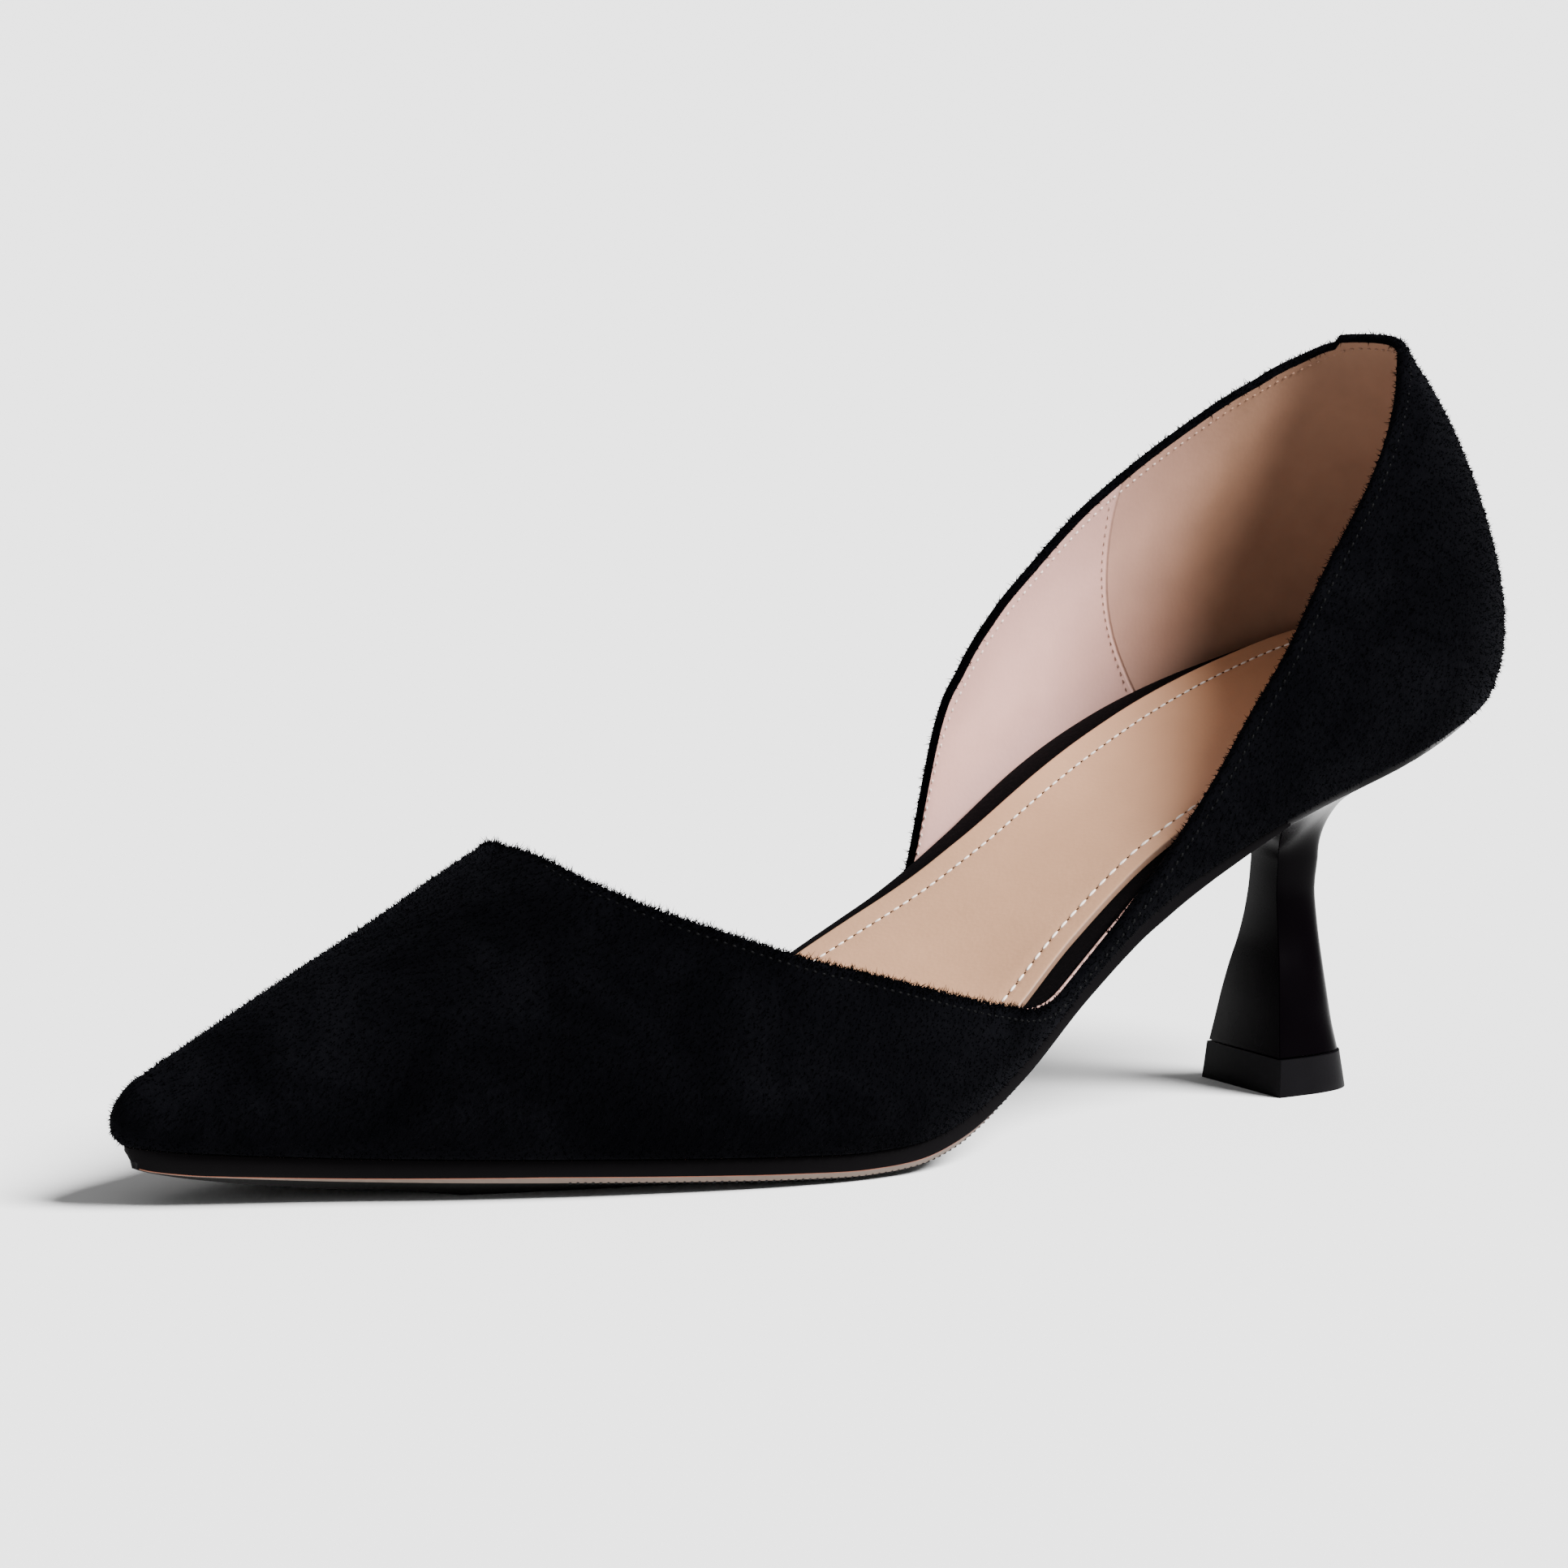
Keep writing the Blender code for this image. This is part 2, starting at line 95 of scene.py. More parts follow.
# Shape of the last: station in percent of LENGTH, then percent of BALL_WIDTH (half_width, swing),
# of HEEL_HEIGHT (feather, tilt) and of INSTEP (crown); belly and its height in mm.
LAST = table(
    "station half_width swing feather tilt crown belly belly_height",
    (0.0, 35.6, 0.0, 100.0, 0.0, 246.0, 3.0, 16.0),
    (6.1, 35.6, 0.0, 93.8, 1.9, 246.0, 3.0, 16.0),
    (12.1, 35.5, 0.0, 85.8, 3.8, 247.0, 2.8, 15.0),
    (18.2, 35.2, -0.2, 77.8, 5.3, 243.0, 2.5, 13.0),
    (24.3, 34.7, -0.9, 68.3, 7.2, 233.0, 2.0, 11.0),
    (30.4, 33.9, -2.3, 56.4, 9.2, 215.0, 1.6, 9.0),
    (36.4, 34.8, -4.7, 40.2, 11.0, 196.0, 1.6, 8.0),
    (42.5, 38.6, -7.9, 23.4, 12.5, 177.0, 2.0, 8.0),
    (47.0, 42.0, -9.4, 13.8, 12.8, 164.0, 2.4, 8.0),
    (51.0, 45.2, -9.7, 8.9, 9.8, 154.0, 2.6, 8.0),
    (55.5, 48.2, -7.9, 7.5, 4.6, 142.0, 2.8, 8.0),
    (60.7, 50.0, -4.2, 8.0, 1.6, 129.0, 2.8, 8.0),
    (66.8, 49.5, 0.8, 8.9, 0.3, 114.5, 2.8, 8.0),
    (73.7, 45.2, 5.0, 9.9, 0.0, 97.2, 2.8, 8.0),
    (81.0, 36.7, 7.9, 10.8, 0.0, 78.1, 2.8, 7.5),
    (87.4, 26.4, 9.8, 11.6, 0.0, 63.5, 2.7, 6.5),
    (93.9, 16.2, 10.3, 13.1, 0.0, 48.9, 2.4, 5.5),
    (98.0, 10.0, 10.4, 14.4, 0.0, 39.4, 2.2, 5.0),
    (100.0, 7.3, 10.3, 15.2, 0.0, 34.0, 2.2, 5.0),
)

# Topline: degrees round the section that the leather reaches on each side.
TOPLINE = table(
    "station outer inner",
    (0.0, 59.6, 59.6),
    (4.4, 56.4, 58.6),
    (7.8, 50.2, 55.7),
    (11.0, 42.6, 53.4),
    (14.5, 33.8, 50.1),
    (17.2, 27.7, 47.3),
    (20.4, 20.3, 44.6),
    (23.7, 14.8, 42.3),
    (26.4, 10.2, 41.0),
    (28.7, 7.1, 39.5),
    (30.4, 5.1, 38.1),
    (33.0, 3.4, 35.9),
    (35.5, 2.7, 31.0),
    (37.0, 2.5, 24.6),
    (38.1, 2.5, 8.0),
    (39.5, 2.8, 3.0),
    (41.2, 4.2, 2.8),
    (45.0, 9.8, 3.8),
    (49.0, 15.5, 9.5),
    (52.8, 20.2, 15.5),
    (56.2, 24.2, 21.0),
    (59.3, 28.0, 26.0),
    (62.2, 32.7, 31.4),
    (64.9, 38.1, 37.2),
    (67.5, 44.5, 44.0),
    (69.8, 53.2, 52.8),
    (71.7, 64.8, 64.6),
    (72.4, 72.8, 72.8),
    (72.9, 82.0, 82.0),
    (73.28, 90.0, 90.0),
)

# Insole: board heights at its two edges, curl of the inner rim, sag, width of bare rim beside the sock, mm.
INSOLE = table(
    "station outer_height inner_height curl sag outer_rim inner_rim",
    (0.0, 8.6, 8.8, 0.0, 1.5, 1.3, 1.3),
    (8.0, 8.6, 9.9, 0.0, 1.8, 1.3, 1.6),
    (14.0, 8.2, 10.3, 0.3, 2.0, 1.4, 2.5),
    (20.0, 7.2, 10.1, 1.1, 2.0, 1.6, 3.9),
    (26.0, 5.7, 9.2, 2.0, 1.8, 2.2, 5.0),
    (32.0, 4.8, 8.1, 2.5, 1.4, 2.8, 5.0),
    (38.0, 4.6, 7.7, 2.3, 1.0, 2.9, 3.3),
    (44.0, 4.4, 8.4, 1.7, 0.7, 2.7, 1.5),
    (50.0, 4.0, 7.8, 0.9, 0.4, 2.4, 1.4),
    (56.0, 3.6, 5.3, 0.3, 0.2, 2.2, 1.9),
    (66.0, 3.1, 3.2, 0.0, 0.0, 2.0, 2.0),
    (100.0, 2.8, 2.8, 0.0, 0.0, 2.0, 2.0),
)

# Outsole: depth of its underside below the feather surface, mm.
SOLE_BODY = table(
    "station depth",
    (20.0, 4.6), (48.0, 5.2), (54.0, 6.8), (60.0, 8.2), (76.0, 8.0), (82.0, 6.3), (88.0, 5.7), (94.0, 4.9),
    (100.0, 3.8),
)

# Heel: height, station of the breast, depth and half width, mm.
HeelRing = namedtuple("HeelRing", "height breast depth half_width")
HEEL_RINGS = [HeelRing(*row) for row in (
    (37.0, 39.6, 9.4, 4.0),
    (32.0, 40.0, 9.1, 4.2),
    (28.0, 40.3, 9.5, 4.9),
    (24.0, 40.75, 10.15, 5.9),
    (19.5, 41.5, 11.2, 7.3),
    (15.0, 42.2, 12.35, 8.45),
    (10.5, 42.8, 13.5, 9.4),
    (6.3, 43.35, 14.9, 10.35),
)]
LIFT_RINGS = [HeelRing(*row) for row in (
    (LIFT_TOP, 43.4, 15.2, 10.8),
    (0.0, 44.0, 16.8, 11.35),
)]

# Seam between the lining's front and heel part: height above the floor, distance from the heel's back, mm.
LINING_SEAM = table(
    "height back",
    (60.0, 48.5), (66.0, 52.0), (72.0, 55.2), (78.0, 57.3), (85.0, 58.4), (92.0, 58.5), (102.0, 56.8),
)

# Where the sections are cut: from, to (mm from the heel's back) and the number of steps.
RUNS = table(
    "start end steps",
    (LENGTH - TOE_ROUND, THROAT, 44),
    (THROAT, 176.0, 14),
    (176.0, 100.0, 60),
    (100.0, 84.0, 28),
    (84.0, HEEL_ROUND, 44),
)
END_STEPS = 24


def linear(code):
    """An sRGB hex colour as linear red, green and blue."""
    parts = [int(code[i:i + 2], 16) / 255 for i in (1, 3, 5)]
    return [p / 12.92 if p <= 0.04045 else ((p + 0.055) / 1.055) ** 2.4 for p in parts]


def reading(rows, column, share):
    """Smooth value of a table's column at a place in its first column."""
    values = [getattr(row, column) for row in rows]
    places = [row[0] for row in rows]
    if share <= places[0]:
        return values[0]
    if share >= places[-1]:
        return values[-1]
    rises = [(values[i + 1] - values[i]) / (places[i + 1] - places[i]) for i in range(len(rows) - 1)]

    def slope(i):
        if i == 0 or i == len(rows) - 1:
            return rises[min(i, len(rises) - 1)]
        before = places[i] - places[i - 1]
        after = places[i + 1] - places[i]
        return (rises[i - 1] * after + rises[i] * before) / (before + after)

    i = max(k for k in range(len(rows) - 1) if places[k] <= share)
    span = places[i + 1] - places[i]
    s = (share - places[i]) / span
    start = values[i] * (1 + 2 * s) + span * slope(i) * s
    end = values[i + 1] * (3 - 2 * s) - span * slope(i + 1) * (1 - s)
    return start * (1 - s) ** 2 + end * s ** 2


@lru_cache(maxsize=None)
def last(column, station):
    """A measure of the last at a station, millimetres."""
    unit = {"half_width": BALL_WIDTH, "swing": BALL_WIDTH, "feather": HEEL_HEIGHT,
            "tilt": HEEL_HEIGHT, "crown": INSTEP}.get(column, 100.0)
    return reading(LAST, column, 100.0 * station / LENGTH) * unit / 100.0


@lru_cache(maxsize=None)
def topline(side, station):
    """Degrees round the section that the leather reaches on a side."""
    return reading(TOPLINE, "outer" if side < 0 else "inner", 100.0 * station / LENGTH)


@lru_cache(maxsize=None)
def insole(column, station):
    """A measure of the insole at a station, millimetres."""
    return reading(INSOLE, column, 100.0 * station / LENGTH)


def closing(run, length):
    """Share of the width left where an outline closes in a quarter of an ellipse."""
    if run >= length:
        return 1.0
    return math.sqrt(max(0.0, 1.0 - (1.0 - max(run, 0.0) / length) ** 2))


@lru_cache(maxsize=None)
def edge(station, side, inset=0.0):
    """Across-position of the feather line, or of a line inside it (-1 outer side, +1 inner side)."""
    step = 0.5
    lean = (last("half_width", station + step) - last("half_width", station - step)) / (2 * step)
    half = last("half_width", station) - inset * math.hypot(1.0, lean)
    ends = closing(LENGTH - inset - station, TOE_ROUND) * closing(station - inset, HEEL_ROUND)
    return last("swing", station) + side * half * ends


def drawn_in(station, inset):
    """Station moved so that a whole outline keeps clear of both ends by the inset."""
    return inset + station * (LENGTH - 2 * inset) / LENGTH


def seat(station, across):
    """Height of the surface that the upper and the insole stand on."""
    share = 0.5 + 0.5 * (across - last("swing", station)) / last("half_width", station)
    return last("feather", station) + last("tilt", station) * min(1.0, max(0.0, share))


def belly(station, height):
    """How far the wall stands out over the feather line at a height above it."""
    x = height / last("belly_height", station)
    return last("belly", station) * x * math.exp(1.0 - x)


def place(station, across, height):
    """The shared frame's point for a place on the shoe in millimetres."""
    return Vector((HEEL_BACK_X - station, across + ACROSS_SHIFT, height)) * MM


def wall_point(station, side, wrap):
    """Outer face of the upper at a station, wrapped so many degrees round the section."""
    foot = edge(station, side)
    spine = min(max(station, HEEL_FAN), TOE_FAN)
    spine_across = last("swing", spine)
    base = seat(station, foot)
    height = (last("crown", spine) - base) * math.sin(math.radians(wrap))
    reach = math.cos(math.radians(wrap))
    along, across = station - spine, foot - spine_across
    grow = reach * (1.0 + belly(station, height) / math.hypot(along, across))
    return place(spine + along * grow, spine_across + across * grow, base + height)


def stations():
    """Section stations from the tip of the toe to the back of the heel."""
    cut = [LENGTH - TOE_ROUND * (1 - math.cos(math.radians(90.0 * i / END_STEPS))) for i in range(END_STEPS)]
    for run in RUNS:
        cut += [run.start + (run.end - run.start) * i / run.steps for i in range(run.steps)]
    cut += [HEEL_ROUND * (1 - math.sin(math.radians(90.0 * i / END_STEPS))) for i in range(END_STEPS + 1)]
    return cut


# Materials


def node(tree, kind, inputs=None, stops=(), into=None, **settings):
    """Adds a node with its settings; each input gets a value or the socket that feeds it, a ramp its stops.

    The first output is linked into a socket, where one is given.
    """
    made = tree.nodes.new(kind)
    for key, value in settings.items():
        setattr(made, key, value)
    for key, value in (inputs or {}).items():
        socket = made.inputs[key]
        if isinstance(value, bpy.types.NodeSocket):
            tree.links.new(value, socket)
        else:
            socket.default_value = value
    band = made.color_ramp.elements if stops else ()
    while len(band) < len(stops):
        band.new(1.0)
    for element, (position, colour) in zip(band, stops):
        element.position, element.color = position, (*colour, 1.0)
    if into is not None:
        tree.links.new(made.outputs[0], into)
    return made


def surface(name, **values):
    """A new material; returns it with its node tree and its Principled shader, set to the given values."""
    skin = bpy.data.materials.new(name)
    skin.use_nodes = True
    shader = skin.node_tree.nodes["Principled BSDF"]
    for key, value in values.items():
        shader.inputs[key.replace("_", " ")].default_value = value
    return skin, skin.node_tree, shader


def per_mm(size):
    """Texture scale that gives features of about this many millimetres on Object coordinates."""
    return 1.0 / (size * MM)


def darker(colour, share):
    """A linear colour brought down to a share of itself."""
    return [c * share for c in colour]


def patterned(name, size, detail, rough=0.5, stretch=None, shade=None, gloss=None, bump=None, **values):
    """A material with one noise pattern; returns what surface returns.

    The pattern's features measure a size in mm. It shades the colour (colour, its share in the dark patches, noise
    levels of the dark and of the full colour), varies the roughness between two values of gloss, and raises a bump
    (strength, depth in mm).
    """
    skin, tree, shader = surface(name, **values)
    where = node(tree, "ShaderNodeTexCoord").outputs["Object"]
    if stretch:
        where = node(tree, "ShaderNodeMapping", {"Vector": where, "Scale": stretch}).outputs[0]
    noise = node(tree, "ShaderNodeTexNoise", {"Vector": where, "Scale": per_mm(size), "Detail": detail,
                                              "Roughness": rough}).outputs["Fac"]
    if shade:
        colour, share, low, high = shade
        node(tree, "ShaderNodeValToRGB", {"Fac": noise}, [(low, darker(colour, share)), (high, colour)],
             into=shader.inputs["Base Color"])
    if gloss:
        node(tree, "ShaderNodeMapRange", {"Value": noise, "To Min": gloss[0], "To Max": gloss[1]},
             into=shader.inputs["Roughness"])
    if bump:
        node(tree, "ShaderNodeBump", {"Height": noise, "Strength": bump[0], "Distance": bump[1] * MM},
             into=shader.inputs["Normal"])
    return skin, tree, shader


def suede_skin(dark, light):
    # Goat suede dyed black: the brushed nap has no gloss, catches light in brushed patches and at grazing angles.
    skin, tree, shader = surface("black_suede", Roughness=1.0, Specular_IOR_Level=0.02, Sheen_Weight=0.012,
                                 Sheen_Roughness=0.4, Sheen_Tint=(*linear("#8d8fa6"), 1.0))
    where = node(tree, "ShaderNodeTexCoord").outputs["Object"]
    brushed = node(tree, "ShaderNodeTexNoise", {"Vector": where, "Scale": per_mm(16), "Detail": 5.0,
                                                "Roughness": 0.62, "Distortion": 0.6}).outputs["Fac"]
    fibre = node(tree, "ShaderNodeTexNoise", {"Vector": where, "Scale": per_mm(0.9), "Detail": 3.0,
                                              "Roughness": 0.7}).outputs["Fac"]
    both = node(tree, "ShaderNodeMath", {0: fibre, 1: 0.35, 2: brushed}, operation='MULTIPLY_ADD').outputs[0]
    between = [a * 0.6 + b * 0.4 for a, b in zip(dark, light)]
    node(tree, "ShaderNodeValToRGB", {"Fac": both}, [(0.55, dark), (0.72, between), (0.9, light)],
         into=shader.inputs["Base Color"])
    node(tree, "ShaderNodeBump", {"Height": fibre, "Strength": 0.7, "Distance": 0.35 * MM},
         into=shader.inputs["Normal"])
    return skin


def nap_skin(colour):
    # Loose suede fibres: matt, as dark as the hide under them, with paler and darker patches.
    return patterned("suede_nap", 9, 3.0, shade=(colour, 0.5, 0.35, 0.7), Roughness=1.0, Specular_IOR_Level=0.0)[0]


def lining_skin(front, heel):
    # Pigskin lining: smooth and rose-beige in front, with a nubuck behind the seam whose brown is partly painted
    # shade;
    # it turns browner towards the heel by painted shade of the heel cup, and darker along the topline by painted
    # shade.
    skin, tree, shader = surface("pigskin_lining", Specular_IOR_Level=0.3)
    where = node(tree, "ShaderNodeTexCoord").outputs["Object"]
    behind = node(tree, "ShaderNodeAttribute", attribute_name="behind_seam").outputs["Fac"]
    step = node(tree, "ShaderNodeMapRange", {"Value": behind, "From Min": -0.15, "From Max": 0.15,
                                             "To Max": 0.4}).outputs[0]
    # Painted shade of the heel cup: the brown grows from 18 mm in front of the seam to 22 mm behind it.
    heel_shade = node(tree, "ShaderNodeMapRange", {"Value": behind, "From Min": -18.0, "From Max": 22.0,
                                             "To Max": 0.6}).outputs[0]
    back = node(tree, "ShaderNodeMath", {0: step, 1: heel_shade}, operation='ADD').outputs[0]
    mottle = node(tree, "ShaderNodeTexNoise", {"Vector": where, "Scale": per_mm(7), "Detail": 4.0}).outputs["Fac"]
    rose, brown = (node(tree, "ShaderNodeValToRGB", {"Fac": mottle},
                        [(0.3, darker(leather, share)), (0.7, leather)]).outputs["Color"]
                   for leather, share in ((front, 0.93), (heel, 0.88)))
    colour = node(tree, "ShaderNodeMix", {0: back, 6: rose, 7: brown}, data_type='RGBA').outputs[2]
    seam = node(tree, "ShaderNodeMath", {0: behind}, operation='ABSOLUTE').outputs[0]
    crease = node(tree, "ShaderNodeMapRange", {"Value": seam, "From Min": 0.1, "From Max": 0.5}).outputs[0]
    shaded = node(tree, "ShaderNodeMapRange", {"Value": seam, "From Min": 0.05, "From Max": 0.35, "To Min": 0.9,
                                               "To Max": 1.0}).outputs[0]
    # Painted shade along the topline: the lining is darker over its top 16 mm.
    depth = node(tree, "ShaderNodeAttribute", attribute_name="under_edge").outputs["Fac"]
    topline_shade = node(tree, "ShaderNodeMapRange", {"Value": depth, "From Max": 16.0, "To Min": 0.8},
                   interpolation_type='SMOOTHSTEP').outputs[0]
    shaded = node(tree, "ShaderNodeMath", {0: shaded, 1: topline_shade}, operation='MULTIPLY').outputs[0]
    node(tree, "ShaderNodeVectorMath", {0: colour, 1: shaded}, operation='MULTIPLY',
         into=shader.inputs["Base Color"])
    node(tree, "ShaderNodeMapRange", {"Value": back, "To Min": 0.5, "To Max": 0.85},
         into=shader.inputs["Roughness"])
    pores = node(tree, "ShaderNodeTexVoronoi", {"Vector": where, "Scale": per_mm(0.8)}).outputs["Distance"]
    grain = node(tree, "ShaderNodeBump", {"Height": pores, "Strength": 0.25, "Distance": 0.06 * MM})
    node(tree, "ShaderNodeBump", {"Height": crease, "Strength": 0.8, "Distance": 0.25 * MM,
                                  "Normal": grain.outputs["Normal"]}, into=shader.inputs["Normal"])
    return skin


def sock_skin(tan, cut):
    # Tan sheepskin sock, finished smooth with faint pores and handling marks; its cut edge shows browner fibre.
    skin, tree, shader = surface("sheepskin_sock", Specular_IOR_Level=0.35)
    where = node(tree, "ShaderNodeTexCoord").outputs["Object"]
    rim = node(tree, "ShaderNodeAttribute", attribute_name="cut_edge").outputs["Fac"]
    mottle = node(tree, "ShaderNodeTexNoise", {"Vector": where, "Scale": per_mm(11), "Detail": 5.0,
                                               "Roughness": 0.6}).outputs["Fac"]
    face = node(tree, "ShaderNodeValToRGB", {"Fac": mottle},
                [(0.28, darker(tan, 0.92)), (0.72, tan)]).outputs["Color"]
    colour = node(tree, "ShaderNodeMix", {0: rim, 6: face, 7: (*cut, 1.0)}, data_type='RGBA').outputs[2]
    tree.links.new(colour, shader.inputs["Base Color"])
    node(tree, "ShaderNodeMapRange", {"Value": mottle, "To Min": 0.42, "To Max": 0.6},
         into=shader.inputs["Roughness"])
    pores = node(tree, "ShaderNodeTexVoronoi", {"Vector": where, "Scale": per_mm(0.7)}).outputs["Distance"]
    wrinkle = node(tree, "ShaderNodeTexNoise", {"Vector": where, "Scale": per_mm(3), "Detail": 3.0}).outputs["Fac"]
    fine = node(tree, "ShaderNodeBump", {"Height": pores, "Strength": 0.3, "Distance": 0.06 * MM})
    node(tree, "ShaderNodeBump", {"Height": wrinkle, "Strength": 0.25, "Distance": 0.15 * MM,
                                  "Normal": fine.outputs["Normal"]}, into=shader.inputs["Normal"])
    return skin


def board_skin(colour):
    # Thin black kid suede wrapped round the board: short flat nap, a shade browner than the upper.
    return patterned("kid_suede_wrap", 0.8, 3.0, shade=(colour, 0.6, 0.35, 0.7), bump=(0.5, 0.2), Roughness=0.95,
                     Specular_IOR_Level=0.03, Sheen_Weight=0.02, Sheen_Roughness=0.45,
                     Sheen_Tint=(*linear("#8a7f86"), 1.0))[0]


def paint_skin(colour):
    # Acrylic edge paint on sole leather: satin black, slightly wavy from the brush.
    return patterned("sole_edge_paint", 2.5, 2.0, gloss=(0.42, 0.6), bump=(0.3, 0.12), Specular_IOR_Level=0.03,
                     Base_Color=(*colour, 1.0))[0]


def stain_skin(colour):
    # Bare line of sole leather that took up stain beside the paint: reddish brown, matt.
    return patterned("stained_leather_line", 4, 3.0, shade=(colour, 0.55, 0.3, 0.7), Roughness=0.7)[0]


def bare_skin(colour):
    # Bare edge of the leather mid-sole: matt fibre with scuffs in the walking direction.
    return patterned("bare_leather_edge", 1.6, 4.0, rough=0.65, stretch=(0.25, 1.0, 1.0),
                     shade=(colour, 0.78, 0.3, 0.7), bump=(0.4, 0.1), Roughness=0.75)[0]


def tread_skin(colour):
    # Thin rubber tread under the leather: matt black, dusty where it meets the floor, with fine cross ribs.
    skin, tree, shader = patterned("rubber_tread", 8, 5.0, shade=(colour, 0.7, 0.4, 0.75), Roughness=0.8,
                                   Specular_IOR_Level=0.2)
    where = node(tree, "ShaderNodeTexCoord").outputs["Object"]
    # The ribs lie 2.4 mm apart; one wave of the texture is pi / 10 of its unit.
    wave = node(tree, "ShaderNodeTexWave", {"Vector": where, "Scale": per_mm(2.4) * math.pi / 10},
                bands_direction='X')
    node(tree, "ShaderNodeBump", {"Height": wave.outputs["Fac"], "Strength": 0.6, "Distance": 0.3 * MM},
         into=shader.inputs["Normal"])
    return skin


def lacquer_skin(colour):
    # Moulded ABS heel under black lacquer: blurred reflections of the floor, the faintest ripple.
    return patterned("lacquered_heel", 5, 1.0, gloss=(0.24, 0.3), bump=(0.12, 0.2), IOR=1.53,
                     Specular_IOR_Level=0.018, Base_Color=(*colour, 1.0))[0]


def lift_skin(colour):
    # Polyurethane top piece: satin black, light scuffs and a fine moulding grain.
    skin, tree, shader = patterned("polyurethane_lift", 6, 4.0, shade=(colour, 0.7, 0.35, 0.75), Roughness=0.5,
                                   Specular_IOR_Level=0.04)
    where = node(tree, "ShaderNodeTexCoord").outputs["Object"]
    grit = node(tree, "ShaderNodeTexNoise", {"Vector": where, "Scale": per_mm(0.6), "Detail": 3.0}).outputs["Fac"]
    node(tree, "ShaderNodeBump", {"Height": grit, "Strength": 0.2, "Distance": 0.08 * MM},
         into=shader.inputs["Normal"])
    return skin


SHADE_FROM, SHADE_TO = 55.0, 85.0  # mm behind the middle of the shoe over which the pale topline thread darkens as painted shade of the heel cup


def thread_skin(name, colour, shine=0.4, heel_shade=None):
    # Bonded polyester thread: twisted plies give a soft streaked sheen; given a darker second colour, it turns to
    # it towards the heel as painted shade of the heel cup.
    skin, tree, shader = surface(name, Roughness=0.55, Specular_IOR_Level=shine)
    where = node(tree, "ShaderNodeTexCoord").outputs["Object"]
    ply = node(tree, "ShaderNodeTexNoise", {"Vector": where, "Scale": per_mm(0.4), "Detail": 1.0}).outputs["Fac"]
    shade = node(tree, "ShaderNodeValToRGB", {"Fac": ply},
                 [(0.3, darker(colour, 0.8)), (0.7, colour)]).outputs["Color"]
    # Painted shade: behind the middle of the shoe the thread turns to the darker colour.
    if heel_shade:
        along = node(tree, "ShaderNodeSeparateXYZ", {0: where}).outputs["X"]
        back = node(tree, "ShaderNodeMapRange", {"Value": along, "From Min": SHADE_FROM * MM,
                                                 "From Max": SHADE_TO * MM}).outputs[0]
        shade = node(tree, "ShaderNodeMix", {0: back, 6: shade, 7: (*heel_shade, 1.0)}, data_type='RGBA').outputs[2]
    tree.links.new(shade, shader.inputs["Base Color"])
    return skin


# Pieces and node trees


def add_object(name, mesh, slot, *replaced):
    """Links a finished mesh, lets it ride on the shoe and hides the solids it stands for."""
    piece = bpy.data.objects.new(name, mesh)
    bpy.context.scene.collection.objects.link(piece)
    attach(piece, "root")
    if replaced:
        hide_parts(*replaced)
    return piece


def finished(name, shell, skins, crease=40.0, merge=0.004):
    """Closes a bmesh into a smooth mesh with its materials."""
    bmesh.ops.remove_doubles(shell, verts=shell.verts, dist=merge * MM)
    bmesh.ops.dissolve_degenerate(shell, edges=shell.edges, dist=0.001 * MM)
    bmesh.ops.recalc_face_normals(shell, faces=shell.faces)
    mesh = bpy.data.meshes.new(name)
    shell.to_mesh(mesh)
    shell.free()
    for skin in skins:
        mesh.materials.append(skin)
    mesh.shade_smooth()
    mesh.set_sharp_from_angle(angle=math.radians(crease))
    return mesh


def loft(shell, rings, closed_ring=True):
    """Faces between neighbouring rings of vertices."""
    count = len(rings[0])
    for low, high in zip(rings, rings[1:]):
        for i in range(count if closed_ring else count - 1):
            j = (i + 1) % count
            shell.faces.new((low[i], low[j], high[j], high[i]))


def capped_loft(shell, rings):
    """A loft of closed rings with a face over each end."""
    loft(shell, rings)
    shell.faces.new(rings[0])
    shell.faces.new(rings[-1])


def grown(path, tree, values):
    """Runs a node tree on a helper mesh and returns the plain mesh that it makes."""
    helper = bpy.data.objects.new(path.name, path)
    bpy.context.scene.collection.objects.link(helper)
    modifier = helper.modifiers.new("Grow", 'NODES')
    modifier.node_group = tree
    sockets = {item.name: item.identifier for item in tree.interface.items_tree if item.in_out == 'INPUT'}
    for key, value in values.items():
        modifier[sockets[key]] = value
    graph = bpy.context.evaluated_depsgraph_get()
    mesh = bpy.data.meshes.new_from_object(helper.evaluated_get(graph))
    helper.modifiers.remove(modifier)
    bpy.data.objects.remove(helper)
    return mesh


def path_mesh(name, points, normals):
    """A line of edges that carries the surface's normal at each point, for the trees that lay beads along it."""
    mesh = bpy.data.meshes.new(name)
    mesh.from_pydata([tuple(p) for p in points], [(i, i + 1) for i in range(len(points) - 1)], [])
    out = mesh.attributes.new("out", 'FLOAT_VECTOR', 'POINT')
    out.data.foreach_set("vector", np.array([tuple(n) for n in normals], np.float32).ravel())
    return mesh


def new_tree(name, *numbers, **others):
    """A geometry tree with inputs for the geometry, the named numbers, others by kind and the material.

    Returns the tree and its inputs' sockets.
    """
    tree = bpy.data.node_groups.new(name, "GeometryNodeTree")
    tree.is_modifier = True
    kinds = {"Geometry": 'NodeSocketGeometry', **dict.fromkeys(numbers, 'NodeSocketFloat'), **others,
             "Material": 'NodeSocketMaterial'}
    for label, kind in kinds.items():
        tree.interface.new_socket(label, in_out='INPUT', socket_type=kind)
    tree.interface.new_socket("Geometry", in_out='OUTPUT', socket_type='NodeSocketGeometry')
    return tree, node(tree, "NodeGroupInput").outputs


